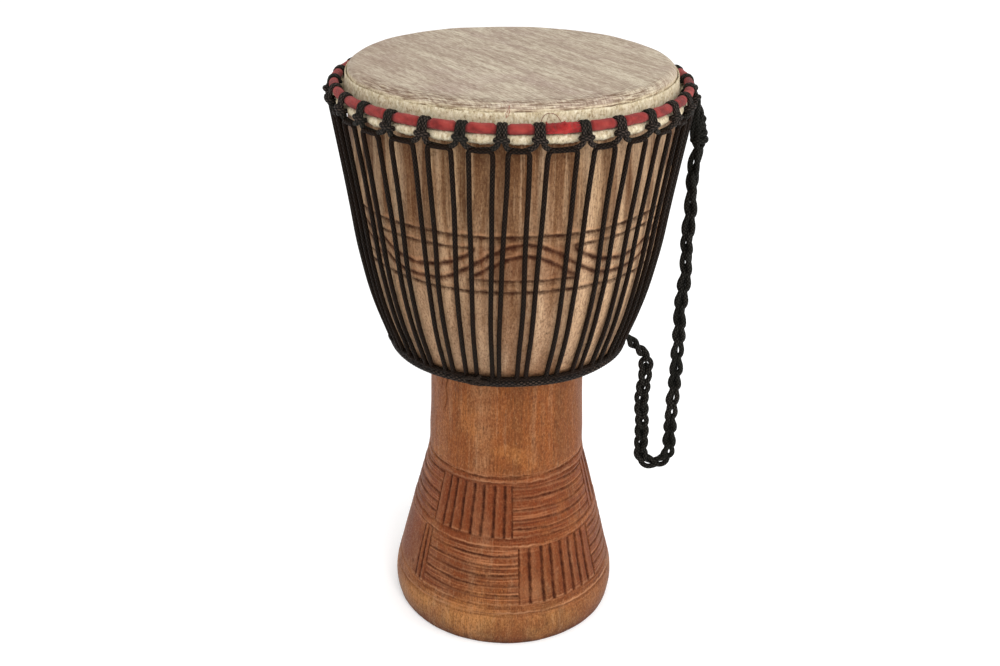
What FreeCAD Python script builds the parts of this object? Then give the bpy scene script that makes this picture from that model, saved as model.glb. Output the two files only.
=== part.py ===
import FreeCAD, Part
import math
import os

import Sketcher

# A rope-tuned goblet hand drum standing on its foot.
# Origin: centre of the foot's lower face. +Z runs up the drum's axis, -Y is the front,
# and the plaited strap hangs on the +X side. Millimetres and degrees throughout.

os.makedirs("parts", exist_ok=True)
doc = FreeCAD.newDocument("djembe")

# ---------------------------------------------------------------- driving dimensions

# Corners of the wood's section, from the foot's outer edge up the outside to the rim and
# down the inside: name, radius, height, and the radius of the arc to the next corner.
# A positive arc bulges to the left of the direction of travel, a negative one to the right,
# and 0 is a straight line.
WOOD_SECTION = (
    ("foot", 118.2, 0.0, -64.0),
    ("foot_top", 119.0, 40.0, 0.0),
    ("ankle", 88.5, 162.0, 120.0),
    ("neck_low", 82.6, 205.0, 900.0),
    ("neck_high", 80.4, 288.0, 22.0),
    ("shoulder", 96.0, 307.5, 0.0),
    ("bowl_base", 112.6, 319.0, -90.0),
    ("bowl_low", 129.0, 350.0, -345.0),
    ("bowl_mid", 147.6, 430.0, -520.0),
    ("bowl_high", 157.0, 508.0, 0.0),
    ("rim_side", 157.6, 592.0, -7.0),
    ("rim_outer", 152.0, 598.6, 0.0),
    ("rim_inner", 147.0, 598.6, -5.0),
    ("wall_top", 143.4, 594.0, 0.0),
    ("wall_high", 142.6, 515.0, 480.0),
    ("wall_mid", 132.6, 430.0, 345.0),
    ("wall_low", 113.0, 352.0, 90.0),
    ("funnel", 84.0, 312.0, 0.0),
    ("throat_high", 66.0, 296.0, -34.0),
    ("throat_mid", 55.0, 270.0, 0.0),
    ("throat_low", 55.0, 200.0, -150.0),
    ("bore_mid", 72.0, 130.0, 0.0),
    ("bore_end", 100.0, 0.0, 0.0),
)

# Section of the struck skin: a disc over the rim and a collar down the wood.
SKIN_SECTION = (
    ("skin_centre", 0.0, 600.0, 0.0),
    ("skin_flat", 150.5, 600.0, 10.0),
    ("skin_crease", 159.2, 592.5, 0.0),
    ("skin_hem_out", 159.2, 567.0, 0.0),
    ("skin_hem_in", 158.0, 567.0, 0.0),
    ("skin_inside", 158.0, 592.0, -7.4),
    ("skin_under_edge", 152.0, 599.0, 0.0),
    ("skin_under", 0.0, 599.0, 0.0),
)

DIMENSIONS = {
    # rope
    "rope_diameter": 5.0,
    "rope_gap": 0.3,
    # top rings
    "crown_radius": 168.5,
    "crown_height": 580.0,
    "crown_rod": 3.4,
    "cloth_inner": 3.7,
    "cloth_outer": 4.6,
    "flesh_radius": 164.9,
    "flesh_height": 571.6,
    "flesh_rod": 2.8,
    "tuck_inner": 3.1,
    "tuck_outer": 4.2,
    "cuff_inner": 159.5,
    "cuff_outer": 161.2,
    "cuff_top": 591.5,
    "tie_inner": 4.9,
    "tie_outer": 6.0,
    "tie_span": 9.5,
    # bottom ring and the rope round it
    "bottom_radius": 118.9,
    "bottom_height": 316.6,
    "bottom_rod": 2.5,
    "belt_inner": 2.8,
    "belt_outer": 4.8,
    "cradle_low_radius": 124.6,
    "cradle_low_height": 324.0,
    "tie_off_length": 26.0,
    "tie_off_radius": 4.6,
    "tie_off_depth": 3.45,
    "tie_off_gap": 1.6,
    # carved ring lines
    "line_width": 2.2,
    "line_depth": 1.3,
    # plaited strap, and the knot at its top
    "strap_diameter": 12.5,
    "lower_knot_share": 0.85,
    "knot_turn_radius": 5.6,
    "knot_strand_radius": 3.1,
    "knot_core_half": 18.0,
    "knot_core_radius": 7.4,
}

# Heights of the carved lines that run right round the foot and the bowl.
CARVED_LINES = (38.0, 48.0, 111.0, 120.0, 178.0, 186.0, 422.0, 478.0)

# Azimuths of the hitches tied over the crown ring, from the front, + towards +X. The front
# ones are unevenly spaced, as they were tied by hand, and the rest share the back evenly.
FRONT_HITCHES = (-62.0, -50.0, -38.0, -26.0, -14.6, -2.9, 7.7, 21.1, 32.6, 44.6, 57.0, 68.8)
BACK_HITCHES = 18

# A cradle rope's way from one hitch down to its corner: radius, sideways, height, bend radius.
HITCH_ROUTE = (
    (165.4, 2.65, 587.6, None),
    (171.6, 2.65, 587.8, None),
    (177.0, 2.65, 583.1, None),
    (174.6, 2.65, 573.0, 6.0),
    (170.3, 7.0, 565.6, 3.4),
)

# A tension rope's way from its top corner down the bowl: radius, height, bend radius. The
# rope leans a little sideways on its way down.
TENSION_ROUTE = (
    (172.3, 560.6, 3.4),
    (156.4, 462.0, 500.0),
    (148.0, 404.0, 150.0),
    (135.8, 357.0, 120.0),
    (127.4, 330.5, None),
)
TENSION_HALF_ANGLE = 2.4
TENSION_LEAN = -1.4

# The strap's centre line in the plane y = 0, from the knot at the crown, down, round the
# tight fold at the bottom and up to the knot at the bottom ring: x, z.
STRAP_ROUTE = (
    (184.0, 517.0),
    (179.8, 497.0),
    (180.2, 475.0),
    (181.6, 453.0),
    (180.0, 430.0),
    (180.4, 408.0),
    (182.0, 386.0),
    (179.6, 363.0),
    (178.6, 341.0),
    (180.4, 318.0),
    (178.6, 296.0),
    (180.0, 273.0),
    (179.2, 250.0),
    (177.6, 227.0),
    (178.4, 204.0),
    (178.8, 183.5),
    (178.0, 166.0),
    (169.0, 157.0),
    (156.4, 156.7),
    (147.4, 165.6),
    (148.4, 183.5),
    (147.6, 203.0),
    (145.6, 224.0),
    (145.2, 244.0),
    (147.0, 262.0),
    (147.4, 279.0),
)

# The twisted end from the strap up to the bottom ring: x, z.
LOWER_KNOT_ROUTE = (
    (147.4, 279.0),
    (147.6, 287.5),
    (137.6, 297.5),
    (126.8, 309.6),
)

# The top knot's turns of rope, from the bottom up: x, z and tilt.
KNOT_TURNS = ((184.2, 521.5, -8.0), (185.6, 529.0, 10.0), (184.8, 536.5, -6.0), (183.4, 544.0, 14.0))
KNOT_CORE = (183.6, 535.2)

# Where the belt's tie-off lies, and how far the cloth tie reaches round the crown ring.
TIE_OFF_PLACE = (-12.0, 317.2)
TIE_REACH = (-35.0, 150.0)

# How far outside the wood a carved line's cutter starts.
CUTTER_CLEARANCE = 0.6

sheet = doc.addObject("Spreadsheet::Sheet", "dimensions")


def fill_sheet():
    """Put every driving dimension in its own cell, with its name as the alias."""
    entries = dict(DIMENSIONS)
    for name, radius, height, arc in WOOD_SECTION + SKIN_SECTION:
        entries[name + "_radius"] = radius
        entries[name + "_height"] = height
        if arc:
            entries[name + "_arc"] = abs(arc)
    for row, (name, value) in enumerate(entries.items(), start=1):
        sheet.set("A%d" % row, name)
        sheet.set("B%d" % row, repr(value))
        sheet.setAlias("B%d" % row, name)
    doc.recompute()


def size(name):
    """The value of one of the sheet's cells."""
    return float(sheet.get(name))


def bind(thing, **properties):
    """Bind an object's properties to expressions over the sheet's cells."""
    for path, expression in properties.items():
        thing.setExpression(path.replace("__", "."), expression)


def cell(name):
    return "dimensions." + name


# ---------------------------------------------------------------- sketches and bodies


def origin_plane(body, role):
    for feature in body.Origin.OriginFeatures:
        if feature.Role == role:
            return feature
    raise ValueError("no plane " + role)


def new_body(label):
    body = doc.addObject("PartDesign::Body", label)
    body.Label = label
    return body


def section_sketch(body, name):
    """A sketch on the body's XZ plane, so that its x is the radius and its y the height."""
    sketch = body.newObject("Sketcher::SketchObject", name)
    sketch.AttachmentSupport = [(origin_plane(body, "XZ_Plane"), "")]
    sketch.MapMode = "FlatFace"
    return sketch


def arc_through(start, end, radius):
    """The short arc from start to end, bulging left of the way for a positive radius."""
    chord = end - start
    half = chord.Length / 2.0
    bulge = abs(radius) - math.sqrt(radius * radius - half * half)
    side = FreeCAD.Vector(-chord.y, chord.x, 0).normalize()
    middle = (start + end) * 0.5 + side * math.copysign(bulge, radius)
    return Part.Arc(start, middle, end)


def pin_corner(sketch, geometry, vertex, name, point):
    """Fix one corner of a section at its radius and height from the sheet."""
    for axis_line, kind, value, suffix in (
        (-2, "DistanceX", point.x, "_radius"),
        (-1, "DistanceY", point.y, "_height"),
    ):
        if value == 0:
            sketch.addConstraint(Sketcher.Constraint("PointOnObject", geometry, vertex, axis_line))
            continue
        index = sketch.addConstraint(Sketcher.Constraint(kind, -1, 1, geometry, vertex, value))
        sketch.setExpression("Constraints[%d]" % index, cell(name + suffix))


def draw_section(sketch, section):
    """Draw a closed section of lines and arcs with every corner and arc bound to the sheet."""
    points = [FreeCAD.Vector(radius, height, 0) for _, radius, height, _ in section]
    ends = []
    for number, (_, _, _, arc) in enumerate(section):
        start = points[number]
        end = points[(number + 1) % len(points)]
        if arc:
            geometry = sketch.addGeometry(arc_through(start, end, arc))
        else:
            geometry = sketch.addGeometry(Part.LineSegment(start, end))
        starts_first = (sketch.getPoint(geometry, 1) - start).Length < 1e-6
        ends.append((geometry, 1, 2) if starts_first else (geometry, 2, 1))
    for number, (name, _, _, arc) in enumerate(section):
        geometry, first, _ = ends[number]
        before, _, last = ends[number - 1]
        sketch.addConstraint(Sketcher.Constraint("Coincident", before, last, geometry, first))
        pin_corner(sketch, geometry, first, name, points[number])
        if arc:
            index = sketch.addConstraint(Sketcher.Constraint("Radius", geometry, abs(arc)))
            sketch.setExpression("Constraints[%d]" % index, cell(name + "_arc"))


def revolve(body, sketch, name, kind="PartDesign::Revolution"):
    """Turn a section round the drum's axis, adding or (as a Groove) cutting."""
    feature = body.newObject(kind, name)
    feature.Profile = sketch
    feature.ReferenceAxis = (sketch, ["V_Axis"])
    feature.Angle = 360.0
    sketch.Visibility = False
    body.Tip = feature
    return feature


def wood_radius(height):
    """Radius of the wood's outside at a height, from the corners and arcs of its section."""
    outside = WOOD_SECTION[:11]
    for (_, r_low, z_low, arc), (_, r_high, z_high, _) in zip(outside, outside[1:]):
        if z_low <= height <= z_high:
            along = (height - z_low) / (z_high - z_low)
            chord = math.hypot(r_high - r_low, z_high - z_low)
            bulge = chord * chord / (8 * arc) if arc else 0.0
            return r_low + along * (r_high - r_low) - 4 * bulge * along * (1 - along)
    raise ValueError("no wood at %s" % height)


def make_shell():
    """The wooden goblet: one carved piece, open at both ends, with lines cut round it."""
    body = new_body("shell")
    section = section_sketch(body, "wood_section")
    draw_section(section, WOOD_SECTION)
    revolve(body, section, "turned_wood")
    doc.recompute()
    plain = body.Shape.Volume
    lines = section_sketch(body, "carved_lines")
    half = size("line_width") / 2.0
    for height in CARVED_LINES:
        outside = wood_radius(height) + CUTTER_CLEARANCE
        bottom = wood_radius(height) - size("line_depth")
        corners = [
            FreeCAD.Vector(outside, height - half, 0),
            FreeCAD.Vector(outside, height + half, 0),
            FreeCAD.Vector(bottom, height, 0),
        ]
        first = lines.GeometryCount
        for number in range(3):
            lines.addGeometry(Part.LineSegment(corners[number], corners[(number + 1) % 3]))
        for number in range(3):
            lines.addConstraint(Sketcher.Constraint(
                "Coincident", first + number, 2, first + (number + 1) % 3, 1))
        width = lines.addConstraint(Sketcher.Constraint(
            "DistanceY", first, 1, first, 2, size("line_width")))
        lines.setExpression("Constraints[%d]" % width, cell("line_width"))
    revolve(body, lines, "cut_lines", "PartDesign::Groove")
    doc.recompute()
    print("carved lines remove %.0f mm3 of wood" % (plain - body.Shape.Volume))
    return body


def make_skin():
    """The struck skin, stretched over the rim and down the wood's side."""
    body = new_body("drum_skin")
    section = section_sketch(body, "skin_section")
    draw_section(section, SKIN_SECTION)
    revolve(body, section, "stretched_skin")
    return body


# ---------------------------------------------------------------- rings and their wraps


def torus(name, ring, height, rod):
    ring_solid = doc.addObject("Part::Torus", name)
    bind(ring_solid, Radius1=cell(ring), Radius2=cell(rod), Placement__Base__z=cell(height))
    return ring_solid


def make_rod_ring(label, ring, height, rod):
    """A ring of round steel rod."""
    solid = torus(label, ring, height, rod)
    solid.Label = label
    return solid


def make_wrap(label, ring, height, inner, outer):
    """A hollow wrap round a ring."""
    wrap = doc.addObject("Part::Cut", label)
    wrap.Base = torus(label + "_outside", ring, height, outer)
    wrap.Tool = torus(label + "_hollow", ring, height, inner)
    wrap.Label = label
    return wrap


def make_skin_tuck():
    """The skin's edge: lapped round the flesh ring, its cuff standing up behind the crown."""
    cuff_solid = doc.addObject("Part::Cylinder", "cuff_outside")
    cuff_bore = doc.addObject("Part::Cylinder", "cuff_bore")
    for cylinder, radius in ((cuff_solid, "cuff_outer"), (cuff_bore, "cuff_inner")):
        bind(
            cylinder,
            Radius=cell(radius),
            Height=cell("cuff_top") + " - " + cell("flesh_height"),
            Placement__Base__z=cell("flesh_height"),
        )
    cuff = doc.addObject("Part::Cut", "cuff")
    cuff.Base = cuff_solid
    cuff.Tool = cuff_bore
    lap = doc.addObject("Part::Fuse", "lap")
    lap.Base = torus("lap_outside", "flesh_radius", "flesh_height", "tuck_outer")
    lap.Tool = cuff
    tuck = doc.addObject("Part::Cut", "skin_tuck")
    tuck.Base = lap
    tuck.Tool = torus("lap_hollow", "flesh_radius", "flesh_height", "tuck_inner")
    tuck.Label = "skin_tuck"
    return tuck


def make_cloth_tie():
    """A second strip of cloth lying over the wrap between two front hitches."""
    body = new_body("cloth_tie")
    section = section_sketch(body, "tie_section")
    centre = FreeCAD.Vector(size("crown_radius"), size("crown_height"), 0)
    first_angle, last_angle = [math.radians(angle) for angle in TIE_REACH]
    edges = []
    for name in ("tie_outer", "tie_inner"):
        circle = Part.Circle(centre, FreeCAD.Vector(0, 0, 1), size(name))
        edge = section.addGeometry(Part.ArcOfCircle(circle, first_angle, last_angle))
        index = section.addConstraint(Sketcher.Constraint("Radius", edge, size(name)))
        section.setExpression("Constraints[%d]" % index, cell(name))
        edges.append(edge)
    for vertex in (1, 2):
        side = section.addGeometry(Part.LineSegment(
            section.getPoint(edges[0], vertex), section.getPoint(edges[1], vertex)))
        section.addConstraint(Sketcher.Constraint("Coincident", side, 1, edges[0], vertex))
        section.addConstraint(Sketcher.Constraint("Coincident", side, 2, edges[1], vertex))
    strip = revolve(body, section, "strip")
    strip.Midplane = True
    bind(strip, Angle=cell("tie_span"))
    middle = (FRONT_HITCHES[6] + FRONT_HITCHES[7]) / 2.0
    turn = FreeCAD.Rotation(FreeCAD.Vector(0, 0, 1), middle - 90.0)
    body.Placement = FreeCAD.Placement(FreeCAD.Vector(), turn)
    return body


# ---------------------------------------------------------------- ropes


def hitch_azimuths():
    """All the hitches' azimuths: the hand-tied front ones, then the back ones evenly."""
    gap = (360.0 + FRONT_HITCHES[0] - FRONT_HITCHES[-1]) / (BACK_HITCHES + 1)
    back = [FRONT_HITCHES[-1] + gap * number for number in range(1, BACK_HITCHES + 1)]
    return list(FRONT_HITCHES) + back


def place(radius, azimuth, height, sideways=0.0):
    """A point at a radius and azimuth, with an optional shift along the tangent."""
    angle = math.radians(azimuth)
    return FreeCAD.Vector(
        radius * math.sin(angle) + sideways * math.cos(angle),
        -radius * math.cos(angle) + sideways * math.sin(angle),
        height,
    )


def bent_wire(points, radii):
    """Straight runs joined by tangent arcs. A radius of None takes the largest that fits."""
    edges = []
    used = []
    last = points[0]
    for number in range(1, len(points) - 1):
        corner = points[number]
        back = points[number - 1] - corner
        ahead = points[number + 1] - corner
        half_turn = (math.pi - back.getAngle(ahead)) / 2.0
        longest = 0.45 * min(back.Length, ahead.Length) / math.tan(half_turn)
        radius = min(radii[number] or longest, longest)
        used.append(radius)
        reach = radius * math.tan(half_turn)
        into = corner + back.normalize() * reach
        out = corner + ahead.normalize() * reach
        inward = (back + ahead).normalize()
        middle = corner + inward * (radius / math.cos(half_turn) - radius)
        edges.append(Part.LineSegment(last, into).toShape())
        edges.append(Part.Arc(into, middle, out).toShape())
        last = out
    edges.append(Part.LineSegment(last, points[-1]).toShape())
    return Part.Wire(edges), used


def rope_solid(points, radii, diameter):
    """A round rope along a bent wire, with its volume compared with section times length."""
    wire, used = bent_wire(points, radii)
    along = points[1] - points[0]
    section = Part.Wire(Part.Circle(points[0], along, diameter / 2.0).toShape())
    rope = wire.makePipeShell([section], True, False)
    expected = math.pi * (diameter / 2.0) ** 2 * wire.Length
    if abs(rope.Volume - expected) > 0.01 * expected:
        raise ValueError("rope volume %.1f, expected %.1f" % (rope.Volume, expected))
    return rope, wire.Length, used


def feature(label, shape):
    piece = doc.addObject("Part::Feature", label)
    piece.Label = label
    piece.Shape = shape
    piece.Placement = FreeCAD.Placement()
    return piece


def neighbours():
    """Each hitch's azimuth with the next one's, all the way round."""
    azimuths = hitch_azimuths()
    return zip(azimuths, azimuths[1:] + [azimuths[0] + 360.0])


def make_crown_cradle():
    """The cradle rope: over the crown ring at each hitch and across to the next one."""
    ropes = []
    for here, there in neighbours():
        down = [place(r, here, z, side) for r, side, z, _ in HITCH_ROUTE]
        up = [place(r, there, z, -side) for r, side, z, _ in reversed(HITCH_ROUTE)]
        bends = [bend for _, _, _, bend in HITCH_ROUTE]
        rope, _, _ = rope_solid(down + up, bends + bends[::-1], size("rope_diameter"))
        ropes.append(rope)
    return feature("crown_cradle", Part.makeCompound(ropes))


def make_tension_rope():
    """The long tuning rope, as its arches from the bottom ring up and across and down."""
    ropes = []
    top = TENSION_ROUTE[0][1]
    drop = top - TENSION_ROUTE[-1][1]
    for here, there in neighbours():
        rise, fall = [], []
        for radius, height, _ in TENSION_ROUTE:
            lean = TENSION_LEAN * (top - height) / drop
            rise.append(place(radius, here + TENSION_HALF_ANGLE + lean, height))
            fall.append(place(radius, there - TENSION_HALF_ANGLE + lean, height))
        bends = [bend for _, _, bend in TENSION_ROUTE]
        rope, _, _ = rope_solid(rise[::-1] + fall, bends[::-1] + bends, size("rope_diameter"))
        ropes.append(rope)
    return feature("tension_rope", Part.makeCompound(ropes))


def make_bottom_cradle():
    """The rope that catches the tension rope's ends just above the belt."""
    strand = doc.addObject("Part::Torus", "bottom_cradle")
    strand.Label = "bottom_cradle"
    bind(
        strand,
        Radius1=cell("cradle_low_radius"),
        Radius2=cell("rope_diameter") + " / 2",
        Placement__Base__z=cell("cradle_low_height"),
    )
    return strand


def make_belt_tie_off():
    """The knotted end of the belt rope, lying along the belt at the front left."""
    azimuth, height = TIE_OFF_PLACE
    knot = doc.addObject("Part::Ellipsoid", "belt_tie_off")
    knot.Label = "belt_tie_off"
    bind(
        knot,
        Radius1=cell("tie_off_depth"),
        Radius2=cell("tie_off_length") + " / 2",
        Radius3=cell("tie_off_radius"),
    )
    belt_outside = size("bottom_radius") + size("belt_outer")
    centre = place(belt_outside + size("tie_off_depth") + size("tie_off_gap"), azimuth, height)
    turn = FreeCAD.Rotation(FreeCAD.Vector(0, 0, 1), azimuth)
    knot.Placement = FreeCAD.Placement(centre, turn)
    return knot


# ---------------------------------------------------------------- strap


def upright(route):
    return [FreeCAD.Vector(x, 0, z) for x, z in route]


def make_strap():
    """The plaited strap, as one plain tube of the plait's width."""
    points = upright(STRAP_ROUTE)
    tube, length, used = rope_solid(points, [None] * len(points), size("strap_diameter"))
    print("strap length %.1f mm, bend radii %s" % (length, [round(r, 1) for r in used]))
    return feature("strap", tube)


def make_lower_knot():
    """The twisted end that ties the strap to the bottom ring."""
    points = upright(LOWER_KNOT_ROUTE)
    tube, length, used = rope_solid(
        points, [None] * len(points), size("lower_knot_share") * size("strap_diameter"))
    print("lower knot length %.1f mm, bend radii %s" % (length, [round(r, 1) for r in used]))
    return feature("strap_lower_knot", tube)


def make_top_knot():
    """The bunched knot at the crown: turns of rope round the strap's end."""
    pieces = []
    for number, (x, z, tilt) in enumerate(KNOT_TURNS, start=1):
        knot_turn = doc.addObject("Part::Torus", "knot_turn_%d" % number)
        bind(knot_turn, Radius1=cell("knot_turn_radius"), Radius2=cell("knot_strand_radius"))
        rotation = FreeCAD.Rotation(FreeCAD.Vector(0, 1, 0), tilt)
        knot_turn.Placement = FreeCAD.Placement(FreeCAD.Vector(x, 0, z), rotation)
        pieces.append(knot_turn)
    core = doc.addObject("Part::Ellipsoid", "knot_core")
    bind(
        core,
        Radius1=cell("knot_core_half"),
        Radius2=cell("knot_core_radius"),
        Radius3=cell("knot_core_radius"),
    )
    x, z = KNOT_CORE
    core.Placement = FreeCAD.Placement(FreeCAD.Vector(x, 0, z), FreeCAD.Rotation())
    pieces.append(core)
    knot = doc.addObject("Part::MultiFuse", "strap_top_knot")
    knot.Shapes = pieces
    knot.Label = "strap_top_knot"
    return knot


# ---------------------------------------------------------------- build, check and export

fill_sheet()
nodes = [
    make_shell(),
    make_skin(),
    make_skin_tuck(),
    make_rod_ring("flesh_ring", "flesh_radius", "flesh_height", "flesh_rod"),
    make_rod_ring("crown_ring", "crown_radius", "crown_height", "crown_rod"),
    make_wrap("crown_cloth", "crown_radius", "crown_height", "cloth_inner", "cloth_outer"),
    make_cloth_tie(),
    make_crown_cradle(),
    make_tension_rope(),
    make_rod_ring("bottom_ring", "bottom_radius", "bottom_height", "bottom_rod"),
    make_wrap("belt_rope", "bottom_radius", "bottom_height", "belt_inner", "belt_outer"),
    make_bottom_cradle(),
    make_belt_tie_off(),
    make_strap(),
    make_lower_knot(),
    make_top_knot(),
]
doc.recompute()

for thing in doc.Objects:
    if "Invalid" in thing.State or "Error" in thing.State:
        raise RuntimeError("%s failed: %s" % (thing.Name, thing.State))
for node in nodes:
    if node.Shape.isNull() or not node.Shape.isValid():
        raise RuntimeError("%s has no valid shape" % node.Label)
for node in nodes:
    node.Shape.exportStep("parts/%s.step" % node.Label)
    box = node.Shape.optimalBoundingBox()
    print("%-18s %8.1f cm3  x %.1f..%.1f  y %.1f..%.1f  z %.1f..%.1f" % (
        node.Label, node.Shape.Volume / 1000.0,
        box.XMin, box.XMax, box.YMin, box.YMax, box.ZMin, box.ZMax))
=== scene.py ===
import math

import bpy
import bmesh
import numpy as np
from mathutils import Euler, Matrix, Vector


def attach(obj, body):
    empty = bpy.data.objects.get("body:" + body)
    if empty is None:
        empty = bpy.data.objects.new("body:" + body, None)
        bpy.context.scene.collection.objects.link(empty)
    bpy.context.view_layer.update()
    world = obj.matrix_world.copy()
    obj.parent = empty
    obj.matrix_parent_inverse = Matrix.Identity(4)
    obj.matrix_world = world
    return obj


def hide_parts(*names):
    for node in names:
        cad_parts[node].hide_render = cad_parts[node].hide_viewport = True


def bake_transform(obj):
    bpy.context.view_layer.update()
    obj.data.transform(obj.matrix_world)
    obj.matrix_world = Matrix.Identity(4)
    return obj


# A rope-tuned goblet drum with a plaited strap on its +X side. The tables of places are in
# millimetres and degrees; azimuth 0 is the front (-Y), + towards +X. Meshes are in metres.

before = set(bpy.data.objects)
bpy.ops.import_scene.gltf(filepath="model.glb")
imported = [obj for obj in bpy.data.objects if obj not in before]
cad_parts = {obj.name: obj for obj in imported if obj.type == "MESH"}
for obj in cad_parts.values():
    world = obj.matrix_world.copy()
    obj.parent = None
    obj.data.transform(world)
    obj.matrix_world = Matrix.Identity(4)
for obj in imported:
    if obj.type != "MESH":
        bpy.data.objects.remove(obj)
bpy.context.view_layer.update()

MM = 0.001
chance = np.random.default_rng(11)

# ---------------------------------------------------------------- camera


def make_camera():
    """The camera, in front of the drum and above it."""
    data = bpy.data.cameras.new("camera")
    data.lens = 44.41
    data.sensor_width = 36.0
    data.clip_start = 0.05
    data.clip_end = 30.0
    camera = bpy.data.objects.new("camera", data)
    bpy.context.scene.collection.objects.link(camera)
    tilt = Euler((math.radians(90.0 - 25.51), 0.0, 0.0)).to_matrix()
    roll = Matrix.Rotation(math.radians(0.80), 3, "Z")
    camera.matrix_world = Matrix.Translation((-0.0079, -1.1675, 0.8695)) @ (tilt @ roll).to_4x4()
    bpy.context.scene.camera = camera


make_camera()

# ---------------------------------------------------------------- mesh tools


def spot(radius, azimuth, height, sideways=0.0):
    """Points from radius, azimuth and height, with an optional shift along the tangent."""
    angle = np.radians(azimuth)
    x = radius * np.sin(angle) + sideways * np.cos(angle)
    y = -radius * np.cos(angle) + sideways * np.sin(angle)
    return np.stack(np.broadcast_arrays(x, y, height), axis=-1) * MM


def round_rod(rod, reach, angle, azimuth, sideways=0.0):
    """Points round a ring's rod, which is its radius and level: how far out, at which angle."""
    radius, level = rod
    return spot(radius + reach * np.cos(angle), azimuth, level + reach * np.sin(angle), sideways)


def ease(value, low, high):
    """0 below low, 1 above high, and smooth between them."""
    part = np.clip((value - low) / (high - low), 0.0, 1.0)
    return part * part * (3.0 - 2.0 * part)


def between(value, low, high, soft=0.3):
    """1 between low and high, with a soft step at each."""
    return ease(value, low - soft, low + soft) * ease(-value, -high - soft, -high + soft)


def around_ring(columns):
    """Azimuths all the way round."""
    return np.linspace(-180.0, 180.0, columns, endpoint=False)


def spline_points(points, resolution=12):
    """The points that Blender gives along the NURBS spline of these control points."""
    curve = bpy.data.curves.new("route", "CURVE")
    curve.dimensions = "3D"
    spline = curve.splines.new("NURBS")
    spline.points.add(len(points) - 1)
    for knot, point in zip(spline.points, points):
        knot.co = (*point, 1.0)
    spline.order_u = 3
    spline.use_endpoint_u = True
    spline.resolution_u = resolution
    holder = bpy.data.objects.new("route", curve)
    line = bpy.data.meshes.new_from_object(holder)
    places = np.zeros(len(line.vertices) * 3)
    line.vertices.foreach_get("co", places)
    bpy.data.objects.remove(holder)
    bpy.data.curves.remove(curve)
    bpy.data.meshes.remove(line)
    return places.reshape(-1, 3)


def travelled(path):
    """How far along the path each of its points lies."""
    steps = np.linalg.norm(np.diff(path, axis=0), axis=1)
    return np.concatenate([[0.0], np.cumsum(steps)])


def on_path(at, far, path):
    """The path's points, or its directions, at these distances along it."""
    return np.stack([np.interp(at, far, path[:, axis]) for axis in range(3)], axis=-1)


def evenly(path, step):
    """The same path with its points about one step apart."""
    far = travelled(path)
    keep = np.concatenate([[True], np.diff(far) > 1e-9])
    count = max(2, int(round(far[-1] / step)) + 1)
    return on_path(np.linspace(0.0, far[-1], count), far[keep], path[keep])


def route(points, step, resolution=12):
    """An even path along the spline of these control points."""
    return evenly(spline_points(points, resolution), step)


def frames(path, closed=False, first=None):
    """The tangent and two crossing directions at each point, turning as little as they can."""
    if closed:
        ahead = np.roll(path, -1, axis=0) - np.roll(path, 1, axis=0)
    else:
        ahead = np.gradient(path, axis=0)
    ahead /= np.linalg.norm(ahead, axis=1)[:, None]
    across = np.zeros_like(path)
    start = np.array(first if first is not None else (0.31, 0.22, 0.93), float)
    for number, tangent in enumerate(ahead):
        start = start - tangent * np.dot(start, tangent)
        start /= np.linalg.norm(start)
        across[number] = start
    return ahead, across, np.cross(ahead, across)


def tube_rings(path, radius, sides=10, closed=False, first=None, taper=0):
    """Rings of points round a path. taper rounds off that many rings at each end."""
    _, across, over = frames(path, closed, first)
    turn = np.linspace(0.0, 2.0 * math.pi, sides, endpoint=False)[None, :, None]
    wide = np.full((len(path), 1, 1), radius)
    for number in range(taper):
        share = math.sqrt(1.0 - (1.0 - (number + 0.25) / taper) ** 2)
        wide[number] *= share
        wide[-1 - number] *= share
    return path[:, None] + (across[:, None] * np.cos(turn) + over[:, None] * np.sin(turn)) * wide


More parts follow.
